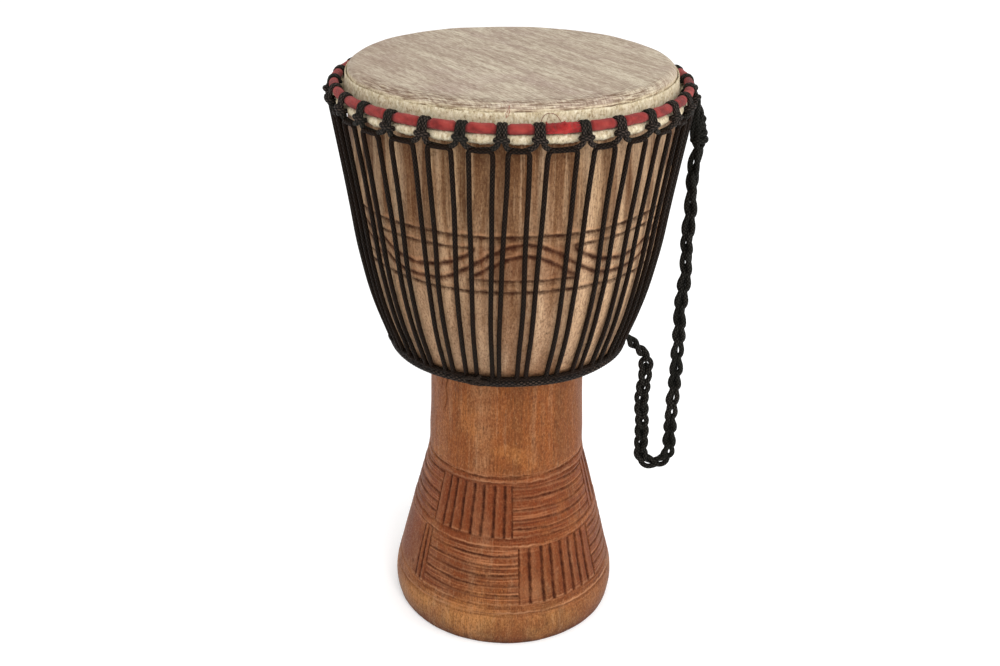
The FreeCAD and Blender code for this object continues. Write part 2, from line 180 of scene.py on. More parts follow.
class Piece:
    """Collects grids of points and makes them into one closed, smooth mesh."""

    def __init__(self, name):
        self.name = name
        self.points, self.faces, self.uv, self.marks = [], [], [], {}
        self.count = 0

    def grid(self, points, along=None, closed=False, **marks):
        """Rows of points round something. closed joins the last row to the first."""
        rows, columns = points.shape[:2]
        if along is None:
            along = np.arange(rows + 1) / rows
        if len(along) == rows:
            along = np.append(along, 2 * along[-1] - along[-2])
        row, column = np.meshgrid(
            np.arange(rows if closed else rows - 1), np.arange(columns), indexing="ij")
        below, beside = (row + 1) % rows, (column + 1) % columns
        corners = [row * columns + column, row * columns + beside,
                   below * columns + beside, below * columns + column]
        across = np.stack([column, column + 1, column + 1, column], axis=-1) / columns
        down = np.stack([along[row], along[row], along[row + 1], along[row + 1]], axis=-1)
        self.faces.append(self.count + np.stack(corners, axis=-1).reshape(-1, 4))
        self.uv.append(np.stack([across, down], axis=-1).reshape(-1, 2))
        self.points.append(points.reshape(-1, 3))
        for name, values in marks.items():
            values = np.broadcast_to(np.asarray(values, float), (rows, columns))
            self.marks.setdefault(name, []).append(values.reshape(-1))
        self.count += rows * columns
        return self

    def tube(self, path, radius, sides=10, closed=False, first=None, taper=0, **marks):
        rings = tube_rings(path, radius, sides, closed, first, taper)
        return self.grid(rings, travelled(path), closed, **marks)

    def strands(self, ways, radius, step):
        """Round-ended strands along the splines of these lists of control points."""
        for way in ways:
            self.tube(route(way, step), radius, taper=3)
        return self

    def build(self, material):
        """The finished object, with its open ends filled and its faces turned outwards."""
        points = np.concatenate(self.points)
        faces = np.concatenate(self.faces)
        mesh = bpy.data.meshes.new(self.name)
        mesh.vertices.add(len(points))
        mesh.vertices.foreach_set("co", points.ravel())
        mesh.loops.add(faces.size)
        mesh.loops.foreach_set("vertex_index", faces.ravel())
        mesh.polygons.add(len(faces))
        mesh.polygons.foreach_set("loop_start", np.arange(0, faces.size, 4))
        mesh.update(calc_edges=True)
        layer = mesh.uv_layers.new(name="wrap")
        layer.data.foreach_set("uv", np.concatenate(self.uv).ravel())
        for name, values in self.marks.items():
            attribute = mesh.attributes.new(name, "FLOAT", "POINT")
            attribute.data.foreach_set("value", np.concatenate(values))
        shape = bmesh.new()
        shape.from_mesh(mesh)
        open_edges = [edge for edge in shape.edges if edge.is_boundary]
        if open_edges:
            bmesh.ops.holes_fill(shape, edges=open_edges, sides=0)
        bmesh.ops.recalc_face_normals(shape, faces=shape.faces)
        for face in shape.faces:
            face.smooth = True
        shape.to_mesh(mesh)
        shape.free()
        mesh.materials.append(material)
        thing = bpy.data.objects.new(self.name, mesh)
        bpy.context.scene.collection.objects.link(thing)
        return thing


# ---------------------------------------------------------------- material tools


def linear(colour):
    """A colour given as screen values from 0 to 255, as the shader's linear ones."""
    part = np.array(colour, float) / 255.0
    part = np.where(part <= 0.04045, part / 12.92, ((part + 0.055) / 1.055) ** 2.4)
    return (float(part[0]), float(part[1]), float(part[2]), 1.0)


class Graph:
    """A material's nodes, written as nested calls."""

    def __init__(self, name):
        self.material = bpy.data.materials.new(name)
        self.material.use_nodes = True
        self.tree = self.material.node_tree
        self.tree.nodes.clear()
        self.place = self.node("TexCoord", {})["Object"]

    def node(self, kind, inputs, **settings):
        made = self.tree.nodes.new("ShaderNode" + kind)
        for key, value in settings.items():
            setattr(made, key, value)
        for key, value in inputs.items():
            if isinstance(value, bpy.types.NodeSocket):
                self.tree.links.new(value, made.inputs[key])
            else:
                made.inputs[key].default_value = value
        return made.outputs

    def maths(self, operation, *values):
        """A calculation. One with more than two values takes them in turn."""
        result = self.node("Math", dict(enumerate(values[:2])), operation=operation)[0]
        return self.maths(operation, result, *values[2:]) if len(values) > 2 else result

    def times(self, *values):
        return self.maths("MULTIPLY", *values)

    def plus(self, *values):
        return self.maths("ADD", *values)

    def less(self, first, second):
        return self.maths("SUBTRACT", first, second)

    def parts(self, vector):
        return self.node("SeparateXYZ", {"Vector": vector})

    def wrap(self):
        """How far round a rope or a ring, from 0 to 1, and how far along it in metres."""
        return self.parts(self.node("UVMap", {}, uv_map="wrap")[0])[:2]

    def stretched(self, scale, turn=(0.0, 0.0, 0.0)):
        """Coordinates multiplied by a scale for each axis, after a turn."""
        source = self.place
        if any(turn):
            source = self.node("Mapping", {"Vector": source, "Rotation": turn})[0]
        return self.node("Mapping", {"Vector": source, "Scale": scale})[0]

    def noise(self, scale, detail, roughness=0.55, distortion=0.0, turn=(0.0, 0.0, 0.0)):
        """Noise over coordinates, or over the object's own at a scale for each axis."""
        if not isinstance(scale, bpy.types.NodeSocket):
            scale = self.stretched(scale, turn)
        return self.node("TexNoise", {
            "Vector": scale, "Scale": 1.0, "Detail": detail, "Roughness": roughness,
            "Distortion": distortion})["Fac"]

    def span(self, value, low, high, first=0.0, last=1.0):
        """Value from low to high, as first to last, kept between them."""
        return self.node("MapRange", {
            "Value": value, "From Min": low, "From Max": high, "To Min": first,
            "To Max": last}, interpolation_type="SMOOTHSTEP")[0]

    def ramp(self, value, *stops):
        """Colours at positions, each stop a position and a screen colour."""
        made = self.tree.nodes.new("ShaderNodeValToRGB")
        self.tree.links.new(value, made.inputs[0])
        elements = made.color_ramp.elements
        while len(elements) < len(stops):
            elements.new(1.0)
        for element, (position, colour) in zip(elements, stops):
            element.position = position
            element.color = linear(colour)
        return made.outputs[0]

    def mix(self, share, first, second):
        """Two colours mixed, each a socket or a screen colour."""
        made = self.tree.nodes.new("ShaderNodeMix")
        made.data_type = "RGBA"
        self.tree.links.new(share, made.inputs[0])
        for index, value in ((6, first), (7, second)):
            if isinstance(value, bpy.types.NodeSocket):
                self.tree.links.new(value, made.inputs[index])
            else:
                made.inputs[index].default_value = linear(value)
        return made.outputs[2]

    def layers(self, colour, *rows):
        """Tints laid over a colour in turn. Each row has where, how strongly and the tint."""
        for where, strength, tint in rows:
            colour = self.mix(self.times(where, strength), colour, tint)
        return colour

    def mark(self, name):
        return self.node("Attribute", {}, attribute_name=name)["Fac"]

    def bump(self, height, distance, strength):
        return self.node("Bump", {
            "Height": height, "Distance": distance, "Strength": strength})[0]

    def finish(self, **inputs):
        sockets = {key.replace("_", " "): value for key, value in inputs.items()}
        shader = self.node("BsdfPrincipled", sockets)[0]
        self.node("OutputMaterial", {"Surface": shader})
        return self.material


# ---------------------------------------------------------------- materials


def wood_material():
    """Oiled tropical wood: soft streaks, pores, burnt carved lines with painted highlights on
    their lips, rubbed places, and painted shade on the foot.
    """
    g = Graph("carved_wood")
    height = g.parts(g.place)[2]
    base = g.ramp(
        g.times(height, 1.0 / 0.6),
        (0.000, (60, 40, 24)), (0.018, (118, 79, 44)), (0.052, (164, 113, 65)),
        (0.085, (118, 62, 26)), (0.190, (121, 56, 21)), (0.300, (122, 57, 22)),
        (0.320, (128, 70, 31)), (0.500, (134, 76, 35)), (0.560, (177, 144, 114)),
        (0.700, (171, 138, 107)), (0.860, (139, 106, 77)), (0.930, (116, 84, 58)))
    broad = g.noise((24.0, 24.0, 1.6), 5.0, 0.6)
    band = g.noise((80.0, 80.0, 3.6), 5.0, 0.6)
    fine = g.noise((620.0, 620.0, 40.0), 4.0, 0.6)
    grit = g.noise((620.0, 620.0, 340.0), 6.0, 0.75)
    vein = g.noise((190.0, 190.0, 6.0), 4.0, 0.6)
    fleck = g.noise((1300.0, 1300.0, 150.0), 2.0)
    cloud = g.noise((15.0, 15.0, 12.0), 5.0, 0.62)
    scrape = g.noise((14.0, 14.0, 480.0), 4.0, 0.62)
    figure = g.node(
        "TexWave",
        {"Vector": g.stretched((13.0, 13.0, 5.0)), "Scale": 2.6, "Distortion": 9.0,
         "Detail": 3.5, "Detail Scale": 1.2, "Detail Roughness": 0.6},
        wave_type="RINGS", rings_direction="Y")["Fac"]
    bowl = g.span(height, 0.455, 0.52)
    streaky = g.span(bowl, 0.0, 1.0, 0.12, 0.90)
    veined = g.span(bowl, 0.0, 1.0, 0.25, 1.0)
    foot = g.span(height, 0.20, 0.17)
    above_neck = g.span(height, 0.30, 0.33)
    neck = g.less(1.0, g.maths("MAXIMUM", above_neck, foot))
    grain_and_highlight, scratch, burn = g.mark("grain_and_highlight"), g.mark("scratch"), g.mark("burn")
    broken = g.span(vein, 0.34, 0.62, 0.45, 1.0)
    colour = g.layers(
        base,
        (g.span(broad, 0.51, 0.64), 0.55, (104, 62, 31)),
        # Pale broad patches on the bowl: partly the wood's own tone, partly painted highlight.
        (g.times(g.span(broad, 0.49, 0.36), veined), 0.60, (198, 164, 126)),
        (g.times(g.span(band, 0.49, 0.64), streaky), 0.92, (74, 43, 20)),
        (g.times(g.span(vein, 0.52, 0.64), veined), 0.55, (88, 50, 25)),
        (g.times(g.span(vein, 0.47, 0.36), veined), 0.45, (202, 168, 132)),
        # Streaks from the grain mark; the pale ones are partly painted highlight.
        (g.times(g.span(grain_and_highlight, 0.05, 0.9), broken), 0.75, (88, 54, 26)),
        (g.times(g.span(grain_and_highlight, -0.05, -0.9), broken), 0.75, (212, 178, 142)),
        (g.times(g.span(figure, 0.35, 0.95), neck), 0.34, (118, 62, 30)),
        (g.times(foot, g.span(cloud, 0.44, 0.62)), 0.60, (106, 46, 18)),
        (g.times(g.span(cloud, 0.48, 0.34), g.less(1.0, above_neck)), 0.42, (172, 110, 58)),
        (g.span(fine, 0.44, 0.68), 0.42, (84, 50, 26)),
        (g.span(grit, 0.48, 0.64), 0.58, (78, 42, 21)),
        (g.span(grit, 0.50, 0.36), 0.20, (196, 146, 100)),
        (g.span(fleck, 0.58, 0.70), 0.60, (62, 34, 18)),
        (g.times(g.span(scrape, 0.52, 0.64), scratch), 0.66, (70, 28, 10)),
        (g.times(g.span(scrape, 0.46, 0.36), scratch), 0.46, (188, 124, 82)),
        # Pale where rubbed, and painted highlight on the cuts' upper lips and on the ribs' and
        # boards' edges.
        (g.times(g.mark("wear_and_highlight"), g.span(cloud, 0.40, 0.60, 0.35, 1.0)), 0.50, (204, 150, 108)),
        # Dark tint for stain, dirt and the knot, and painted shade on the flute ribs and towards
        # the foot's sides.
        (g.mark("tint"), 0.62, (97, 44, 20)),
        (g.times(burn, g.span(grit, 0.30, 0.62, 0.75, 1.0)), 1.0, (42, 13, 3)),
        (g.mark("inside"), 0.6, (100, 68, 44)))
    relief = g.plus(g.times(fine, 0.4), g.times(grit, 0.7), g.times(scrape, scratch, 1.6))
    relief = g.less(relief, g.span(fleck, 0.60, 0.74, 0.0, 0.5))
    rough = g.plus(g.span(grit, 0.3, 0.7, 0.42, 0.60), g.times(burn, 0.25))
    return g.finish(
        Base_Color=colour, Roughness=rough, Normal=g.bump(relief, 0.0006, 0.7),
        Specular_IOR_Level=0.09)


def skin_material():
    """Shaved goat skin: streaked mauve and buff on top, cream and fibrous down the side."""
    g = Graph("goat_skin")
    x, y, z = g.parts(g.place)
    slant = (0.0, 0.0, math.radians(57.0))
    streak = g.noise((9.0, 42.0, 9.0), 5.0, 0.6, 0.5, slant)
    thin = g.noise((26.0, 190.0, 26.0), 5.0, 0.65, turn=slant)
    hair = g.noise((100.0, 640.0, 300.0), 4.0, 0.65, turn=slant)
    blotch = g.noise((11.0, 11.0, 11.0), 4.0, 0.6)
    pores = g.noise((900.0, 900.0, 700.0), 2.0)
    shave = g.noise((420.0, 420.0, 120.0), 4.0, 0.65)
    top = g.layers(
        g.ramp(streak, (0.28, (190, 178, 156)), (0.44, (182, 168, 147)),
               (0.54, (173, 157, 137)), (0.64, (163, 145, 128)), (0.76, (150, 131, 115))),
        (g.span(thin, 0.42, 0.62), 0.56, (132, 112, 96)),
        (g.span(thin, 0.46, 0.32), 0.34, (206, 196, 170)),
        (g.span(blotch, 0.50, 0.66), 0.45, (158, 136, 124)),
        (g.span(hair, 0.50, 0.66), 0.75, (118, 99, 82)),
        (g.span(hair, 0.46, 0.34), 0.50, (216, 208, 188)),
        # Painted shade: the head's left side is darker.
        (g.span(x, -0.03, -0.15), 0.34, (138, 116, 99)),
        (g.times(g.span(x, 0.02, 0.13), g.span(pores, 0.56, 0.66)), 0.50, (128, 100, 76)))
    side = g.layers(
        g.mix(g.span(shave, 0.40, 0.62), (204, 190, 160), (166, 146, 116)),
        (g.span(blotch, 0.52, 0.64), 0.5, (176, 152, 134)),
        (g.span(pores, 0.60, 0.70), 0.55, (118, 90, 64)))
    collar = g.span(z, 0.5965, 0.5925)
    # Creases run round the rim at the front, so their noise is laid out by angle and reach.
    out = g.maths("POWER", g.plus(g.times(x, x), g.times(y, y)), 0.5)
    turn = g.maths("ARCTAN2", x, g.times(y, -1.0))
    waves = g.noise(g.node("CombineXYZ", {
        "X": g.times(turn, 9.0), "Y": g.times(g.less(out, z), 520.0)})[0], 4.0, 0.65, 0.6)
    front = g.times(g.span(out, 0.136, 0.151), g.span(y, -0.04, -0.12))
    crease = g.times(g.span(waves, 0.48, 0.62), front)
    # The front creases are painted dark in their folds, painted shade, and pale on the ridges
    # between them, painted highlight.
    colour = g.layers(
        g.mix(collar, top, side),
        (crease, 0.85, (98, 72, 50)),
        (g.times(g.span(waves, 0.46, 0.34), front), 0.60, (214, 202, 172)))
    lift = g.plus(
        g.times(streak, 1.2), g.times(thin, 0.6), g.times(hair, 0.25), g.times(crease, -0.5),
        g.times(shave, collar, 0.9))
    return g.finish(
        Base_Color=colour, Roughness=g.span(thin, 0.3, 0.7, 0.55, 0.74),
        Normal=g.bump(lift, 0.0009, 0.6), Specular_IOR_Level=0.2)


def skin_edge_material():
    """The skin's shaved edge, pale and puffy, with darker bits where hair is left."""
    g = Graph("skin_edge")
    soft = g.noise((280.0, 280.0, 200.0), 5.0, 0.65)
    bits = g.noise((560.0, 560.0, 320.0), 3.0, 0.6)
    colour = g.layers(
        g.ramp(soft, (0.32, (210, 199, 173)), (0.50, (194, 180, 151)),
               (0.64, (172, 155, 124)), (0.76, (150, 130, 99))),
        (g.span(bits, 0.54, 0.68), 0.65, (112, 88, 60)),
        (g.span(bits, 0.44, 0.32), 0.55, (230, 222, 202)))
    return g.finish(
        Base_Color=colour, Roughness=0.78, Specular_IOR_Level=0.2,
        Normal=g.bump(g.plus(soft, g.times(bits, 0.6)), 0.0016, 0.8))


def cloth_material(name, light, middle, dark):
    """Cotton cloth wound round a ring: threads both ways, rubbed pale specks, and painted shade in
    its folds and at the hitches.
    """
    g = Graph(name)
    across, along = g.wrap()
    warp = g.maths("SINE", g.times(across, 2.0 * math.pi * 46.0))
    weft = g.maths("SINE", g.times(along, 2.0 * math.pi / 0.0007))
    weave = g.times(g.plus(warp, weft), 0.5)
    shade = g.noise((70.0, 70.0, 110.0), 5.0, 0.6)
    lint = g.noise((800.0, 800.0, 800.0), 3.0)
    colour = g.layers(
        g.ramp(shade, (0.32, light), (0.50, middle), (0.68, dark)),
        (g.span(lint, 0.56, 0.70), 0.35, light),
        (g.span(weave, 0.1, -0.9), 0.30, dark),
        # Painted shade in the wrap's folds and at the hitches; the loose thread gets this darker
        # red all over.
        (g.mark("fold"), 0.75, (74, 22, 20)))
    relief = g.plus(g.times(weave, 0.25), g.times(shade, 1.4))
    return g.finish(
        Base_Color=colour, Roughness=0.86, Normal=g.bump(relief, 0.0008, 0.7),
        Sheen_Weight=0.08, Sheen_Roughness=0.5, Specular_IOR_Level=0.15)


def rope_material(name, around, length, tint, light):
    """Black braided rope: how many picks round it, their length, and its tint and highlight."""
    g = Graph(name)
    turn, along = g.wrap()
    turn, along = g.times(turn, float(around)), g.times(along, 1.0 / length)
    braid = g.times(*(
        g.maths("ABSOLUTE", g.maths("SINE", g.times(g.maths(way, turn, along), math.pi)))
        for way in ("ADD", "SUBTRACT")))
    dust_and_glint = g.noise((260.0, 260.0, 260.0), 4.0, 0.65)
    hue = g.noise((30.0, 30.0, 30.0), 3.0)
    colour = g.layers(
        # The braid's raised picks get the painted highlight colour, and the hollows between them
        # near black, painted shade.
        g.mix(g.span(braid, 0.10, 0.85), (3, 2, 1), light),
        (g.span(hue, 0.42, 0.62), 0.55, tint),
        # Pale flecks, partly dust and partly painted glints.
        (g.span(dust_and_glint, 0.58, 0.74), 0.25, (66, 62, 56)))
    return g.finish(
        Base_Color=colour, Roughness=g.span(braid, 0.0, 1.0, 0.72, 0.50),
        Normal=g.bump(g.plus(braid, g.times(dust_and_glint, 0.25)), 0.0006, 0.9), Specular_IOR_Level=0.07)


def steel_material():
    """Dark welded steel rod, lightly rusted."""
    g = Graph("ring_steel")
    rust = g.noise((180.0, 180.0, 180.0), 5.0, 0.6)
    return g.finish(
        Base_Color=g.mix(g.span(rust, 0.45, 0.65), (92, 90, 88), (104, 66, 42)), Metallic=0.8,
        Roughness=g.span(rust, 0.4, 0.7, 0.35, 0.75), Normal=g.bump(rust, 0.0003, 0.5))


WOOD = wood_material()
SKIN = skin_material()
SKIN_EDGE = skin_edge_material()
CLOTH = cloth_material("wrap_cloth", (160, 66, 58), (140, 46, 42), (98, 28, 26))
TIE_CLOTH = cloth_material("tie_cloth", (186, 62, 54), (160, 38, 36), (108, 22, 22))
# Each rope's last colour is the painted highlight on its braid.
CRADLE = rope_material("cradle_rope", 5, 0.0044, (20, 23, 19), (62, 52, 46))
TENSION = rope_material("tension_rope", 5, 0.0044, (25, 12, 4), (36, 25, 17))
BELT = rope_material("belt_rope", 8, 0.0056, (22, 21, 21), (62, 50, 42))
STRAP = rope_material("strap_rope", 5, 0.0040, (16, 17, 13), (46, 43, 38))
STEEL = steel_material()

for node in ("flesh_ring", "crown_ring", "bottom_ring"):
    for material_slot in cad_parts[node].material_slots:
        material_slot.material = STEEL

# ---------------------------------------------------------------- strap

# The strap's centre line in the plane y = 0, from the knot at the crown down, round the
# fold and up to the knot at the bottom ring: x, z.
STRAP_ROUTE = (
    (184, 517), (179.8, 497), (180.2, 475), (181.6, 453), (180, 430), (180.4, 408), (182, 386),
    (179.6, 363), (178.6, 341), (180.4, 318), (178.6, 296), (180, 273), (179.2, 250), (177.6, 227),
    (178.4, 204), (178.8, 183.5), (178, 166), (169, 157), (156.4, 156.7), (147.4, 165.6),
    (148.4, 183.5), (147.6, 203), (145.6, 224), (145.2, 244), (147, 262), (147.4, 285),
)
# From there, in its last twisted stretch, to the bottom ring: x, z.
LOWER_KNOT_ROUTE = ((147.2, 283), (147.4, 290), (140, 294.5), (133, 302), (124.6, 311.8))

# One stitch of the chain: how far along in stitches, and its places across and towards the
# viewer in half-widths and half-depths.
STITCH = (
    (0, -0.3, -0.3), (0.28, -0.45, 0.9), (0.7, -1, 0.5), (1.1, -0.85, -0.2), (1.33, 0, -0.8),
    (1.1, 0.85, -0.2), (0.7, 1, 0.5), (0.28, 0.45, 0.9), (0, 0.3, -0.3), (0.25, 0.1, -1.6),
    (0.75, -0.1, -1.6),
)
# In metres: the strap's width, its rope's radius and a stitch's half-depth; then distances
# along the strap with a stitch's length there, and with its half-width.
STRAP_ROPE = 0.0029
STITCH_DEPTH = 0.0030
STITCH_PITCH = ((0.0, 0.10, 0.30, 0.36, 0.50), (0.023, 0.021, 0.018, 0.0145, 0.0135))
STITCH_WIDTH = ((0.0, 0.3, 0.36, 0.5), (0.0046, 0.0050, 0.0054, 0.0057))

# The knot's loose loops, and the strands that tie it to the crown's lacing: x, y, z.
KNOT_LOOPS = (
    ((183, -1, 512), (181, -4, 522), (181.5, -5, 534), (184.5, -4, 546), (182, 1, 552),
     (178.5, 4, 545), (179.5, 5, 530), (182, 3, 516)),
    ((186, 1.5, 514), (189, 4.5, 524), (188, 6, 536), (184, 4, 547), (180.5, -1, 550),
     (179, -5, 543)),
    ((181.5, 0.5, 524), (186.5, 0, 529), (185, 1, 540), (182, 0, 546)),
)
KNOT_TIES = (
    ((171, -11, 569.5), (174.5, -11, 570.5), (178.5, -10.5, 567), (178.2, -8.5, 556),
     (179, -6, 545), (180.5, -3.5, 532), (182.2, -1.5, 520), (183, 0, 512)),
    ((171, -0.8, 569), (174.5, -0.8, 570), (178.5, -0.8, 567), (179.2, 0.2, 555),
     (179.8, 3.5, 543), (181.6, 3, 530), (183.6, 1.5, 517)),
    ((170.6, -3.4, 568), (174, -3.4, 569.4), (177.6, -3.4, 566), (176.4, -3, 552),
     (177.6, -2.5, 540), (179.6, -1.5, 528), (181.6, -0.5, 516)),
    ((170.6, -6.4, 568), (174, -6.4, 569.4), (177.8, -6.2, 565.6), (177.2, -5, 550),
     (178.6, -1, 537), (180.8, 1, 525), (182.6, 0.5, 514)),
    ((178, -7, 560), (182, -4, 556), (184.5, 0, 549), (182, 5, 541), (178.5, 3, 534)),
    ((177.4, 0, 562), (181.4, 0, 557), (184, -2, 551.5), (183, -5.5, 545), (179.6, -5.5, 537),
     (179.5, -1, 528)),
    ((178.4, -9, 562), (177.6, -7, 553), (176, -4.5, 541), (175.6, -2, 530), (178.5, -1, 521),
     (183, 0, 514)),
    ((179.4, 1.5, 556), (177.6, 3.5, 548), (176.2, 4, 539), (176.6, 3, 530), (180, 2, 521)),
)


def stitch_starts(length):
    """Where each stitch starts along the strap: loose and long at first, then even."""
    starts = [0.0]
    while starts[-1] < length:
        pitch = np.interp(starts[-1], *STITCH_PITCH)
        starts.append(starts[-1] + pitch * (1.0 + 0.10 * math.sin(len(starts) * 2.3)))
    return np.array(starts) * length / starts[-1]


def make_strap():
    """The strap: one thin rope chained into a plait along the strap's line."""
    line = spline_points([(x * MM, 0.0, z * MM) for x, z in STRAP_ROUTE])
    far = travelled(line)
    starts = stitch_starts(far[-1] - 0.004)
    _, across, over = frames(line, first=(1.0, 0.0, 0.0))
    controls = []
    for number, (start, end) in enumerate(zip(starts, starts[1:])):
        wide = np.interp(start, *STITCH_WIDTH)
        lean = 0.35 * math.sin(number * 1.7) + np.interp(start, (0.0, 0.25), (0.8, 0.0))
        for along, side, depth in STITCH:
            at = min(max(start + along * (end - start), 0.0), far[-1])
            sideways, towards = side * wide, depth * STITCH_DEPTH
            controls.append(
                on_path(at, far, line)
                + on_path(at, far, across) * (sideways * math.cos(lean) - towards * math.sin(lean))
                + on_path(at, far, over) * (sideways * math.sin(lean) + towards * math.cos(lean)))
    strap = Piece("strap_plait").tube(route(controls, 0.0013, 6), STRAP_ROPE, 9, taper=3)
    return strap.build(STRAP), line


def make_lower_knot():
    """The strap's end: its rope doubled and twisted, up to the bottom ring."""
    line = route([(x * MM, 0.0, z * MM) for x, z in LOWER_KNOT_ROUTE], 0.0008)
    far = travelled(line)[:, None]
    _, across, over = frames(line, first=(1.0, 0.0, 0.0))
    knot = Piece("strap_twist")
    for start in (0.9, math.pi + 0.9):
        turn = far / 0.030 * 2.0 * math.pi + start
        apart = 0.0027 + 0.0005 * np.sin(far / 0.0115 * 2.0 * math.pi)
        strand = line + (across * np.cos(turn) + over * np.sin(turn)) * apart
        knot.tube(evenly(strand, 0.0010), STRAP_ROPE, taper=3)
    return knot.build(STRAP)


def make_top_knot():
    """The knot at the crown: the rope wound on itself, with loose loops at its side."""
    steps = np.linspace(0.0, 4.3 * 2.0 * math.pi, 150)
    rise = steps / steps[-1]
    wide = 5.3 + 0.9 * np.sin(rise * 7.0) - 1.3 * rise ** 3
    tilt = np.radians(-16.0 + 26.0 * rise)
    x = np.interp(rise, (0.0, 0.3, 0.65, 1.0), (182.8, 184.0, 182.8, 181.4)) + wide * np.cos(steps)
    y = 0.85 * wide * np.sin(steps)
    z = 519.5 + 27.0 * rise + wide * np.cos(steps) * np.sin(tilt)
    knot = Piece("strap_coils")
    knot.tube(evenly(np.stack([x, y, z], axis=-1) * MM, 0.0013), 0.0030, taper=3)
    knot.strands([np.array(loop) * MM for loop in KNOT_LOOPS], 0.0026, 0.0013)
    return knot.build(STRAP)


strap, strap_line = make_strap()
lower_knot = make_lower_knot()
top_knot = make_top_knot()
for piece, node in (
    (strap, "strap"), (lower_knot, "strap_lower_knot"), (top_knot, "strap_top_knot")
):
    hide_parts(node)
    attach(piece, "strap_loop")

# The strands that tie the knot to the crown's lacing.
ties = Piece("strap_ties").strands([np.array(way) * MM for way in KNOT_TIES], 0.0024, 0.0015)
ties = ties.build(STRAP)
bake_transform(ties)

# ---------------------------------------------------------------- wood

# The wood's section up the outside: radius, height, and the arc's radius to the next corner.
OUTSIDE = (
    (118.2, 0, -64), (119, 40, 0), (88.5, 162, 120), (82.6, 205, 900), (80.4, 288, 22),
    (96, 307.5, 0), (112.6, 319, -90), (129, 350, -345), (147.6, 430, -520), (157, 508, 0),
    (157.6, 592, 0),
)
# From there over the lip, down the inside and round under the foot: radius, height.
INSIDE = (
    (157.6, 592), (157.2, 595.6), (155.2, 597.9), (152, 598.6), (147, 598.6), (144.4, 597.3),
    (143.4, 594), (143.1, 570), (142.9, 540), (142.6, 515), (140.6, 487), (137.1, 458),
    (132.6, 430), (127.2, 403), (121, 378), (113, 352), (106, 337), (96.4, 323), (84, 312),
    (66, 296), (59, 285), (55, 270), (55, 235), (55, 200), (58, 178), (63.6, 154), (72, 130),
    (81, 88), (90.6, 44), (99.4, 3), (101, 0), (109, 0), (116.8, 0),
)

# Hand-cut blocks on the foot. Each band has its blocks' edges, the front flutes, the rules'
# heights and its own height. Flutes and rules take turns round the foot, and the lower band
# starts with the other kind.
BANDS = (
    ((-50, 5, 69, 125, 189, 245, 310), (-42, -36, -29, -22, -15, -7.5, -0.5),
     (174, 163, 150.5, 139.5, 129.5), 121, 177),
    ((-49, 8, 60, 125, 185, 245, 311), (14.5, 22, 28, 35, 41, 47, 53), (103, 92, 81.5, 70.5, 60),
     49, 110),
)
PLAIN_BLOCK = (250, 256, 303, 307)
# Rings cut round the foot: height, depth, how burnt, and how strong the painted highlight on the
# lip is.
FOOT_RINGS = (
    (186, 1.5, 0.85, 0.5), (178, 1, 0.55, 1), (120, 1.2, 0.6, 1), (111, 1.1, 0.6, 0.9),
    (48, 1, 0.28, 1), (38, 0.9, 0.22, 1),
)

# Dark and pale streaks down the bowl: azimuth, half width in degrees, strength. The pale ones
# between the ropes are partly the wood's grain and partly painted highlight.
STREAKS = (
    (-61, 2, -0.7), (-56, 1.4, 0.4), (-50.5, 2.2, -0.8), (-46, 1.1, 0.5), (-40, 2.8, -0.9),
    (-33.5, 1.2, 0.5), (-30, 1.5, -0.6), (-26.8, 1.6, 0.5), (-23.6, 1.4, -0.6), (-20.6, 1.5, 0.9),
    (-18.2, 1.3, -0.7), (-15.6, 1.4, 0.8), (-9.4, 1.6, 0.8), (-3, 2, 0.5), (1.4, 2.4, 0.9),
    (6.2, 1.2, -0.5), (10.6, 1.8, -0.7), (14.8, 1.3, 0.8), (20.5, 1.2, 0.4), (26.5, 3, -0.8),
    (33, 0.9, 0.6), (39, 3.4, -1), (45.5, 2.2, -0.9), (51, 3.4, -1), (54.8, 0.8, 0.5),
    (58.5, 2.6, -1), (64.5, 3, -1), (75, 3, 0.5), (92, 4, 0.6), (108, 3, -0.5), (127, 4, 0.7),
    (150, 3, -0.5), (171, 4, 0.6), (-160, 3.5, -0.6), (-138, 4, 0.7), (-118, 3, -0.5),
    (-99, 4, 0.6), (-78, 2.5, 0.5), (-68, 2, -0.4),
)

# Carved arcs round the bowl, as degrees from a peak and heights. Each has where it starts and
# ends, and how deep it is. An arc's front half is ARC_REACH wide; others are stretched.
ARC_REACH = 39.0
ARCS = (
    ((0, 5.5, 12, 17, 21, 26, 31, 39), (471.5, 468.5, 460, 451, 444, 436, 432, 431),
     -1, 39.5, 1.2),
    ((17, 19.5, 25, 30, 39), (466, 459.5, 451.5, 447, 443), 17, 39.5, 1.1),
    ((0, 5, 9, 13, 17, 19), (460, 457.5, 452, 446, 439, 436), -1, 19, 1.1),
)
PEAKS = ((5, 39), (79.25, 35.25), (149.75, 35.25), (-139.75, 35.25), (-69.25, 35.25))


def wood_outside(height):
    """The outside's radius at each height."""
    radius = np.zeros_like(height)
    for (r_low, z_low, arc), (r_high, z_high, _) in zip(OUTSIDE, OUTSIDE[1:]):
        along = np.clip((height - z_low) / (z_high - z_low), 0.0, 1.0)
        chord = math.hypot(r_high - r_low, z_high - z_low)
        bulge = chord * chord / (8.0 * arc) if arc else 0.0
        value = r_low + along * (r_high - r_low) - 4.0 * bulge * along * (1.0 - along)
        radius = np.where((height >= z_low) & (height <= z_high), value, radius)
    return radius


def narrowing(azimuth, height):
    """The head is hand-made and a little narrower from side to side than front to back."""
    return 3.0 * np.sin(np.radians(azimuth)) ** 2 * ease(height, 556.0, 588.0)


def notch(gap, half):
    """1 in the middle of a V cut, falling to 0 at its edges."""
    return np.clip(1.0 - np.abs(gap) / half, 0.0, 1.0)


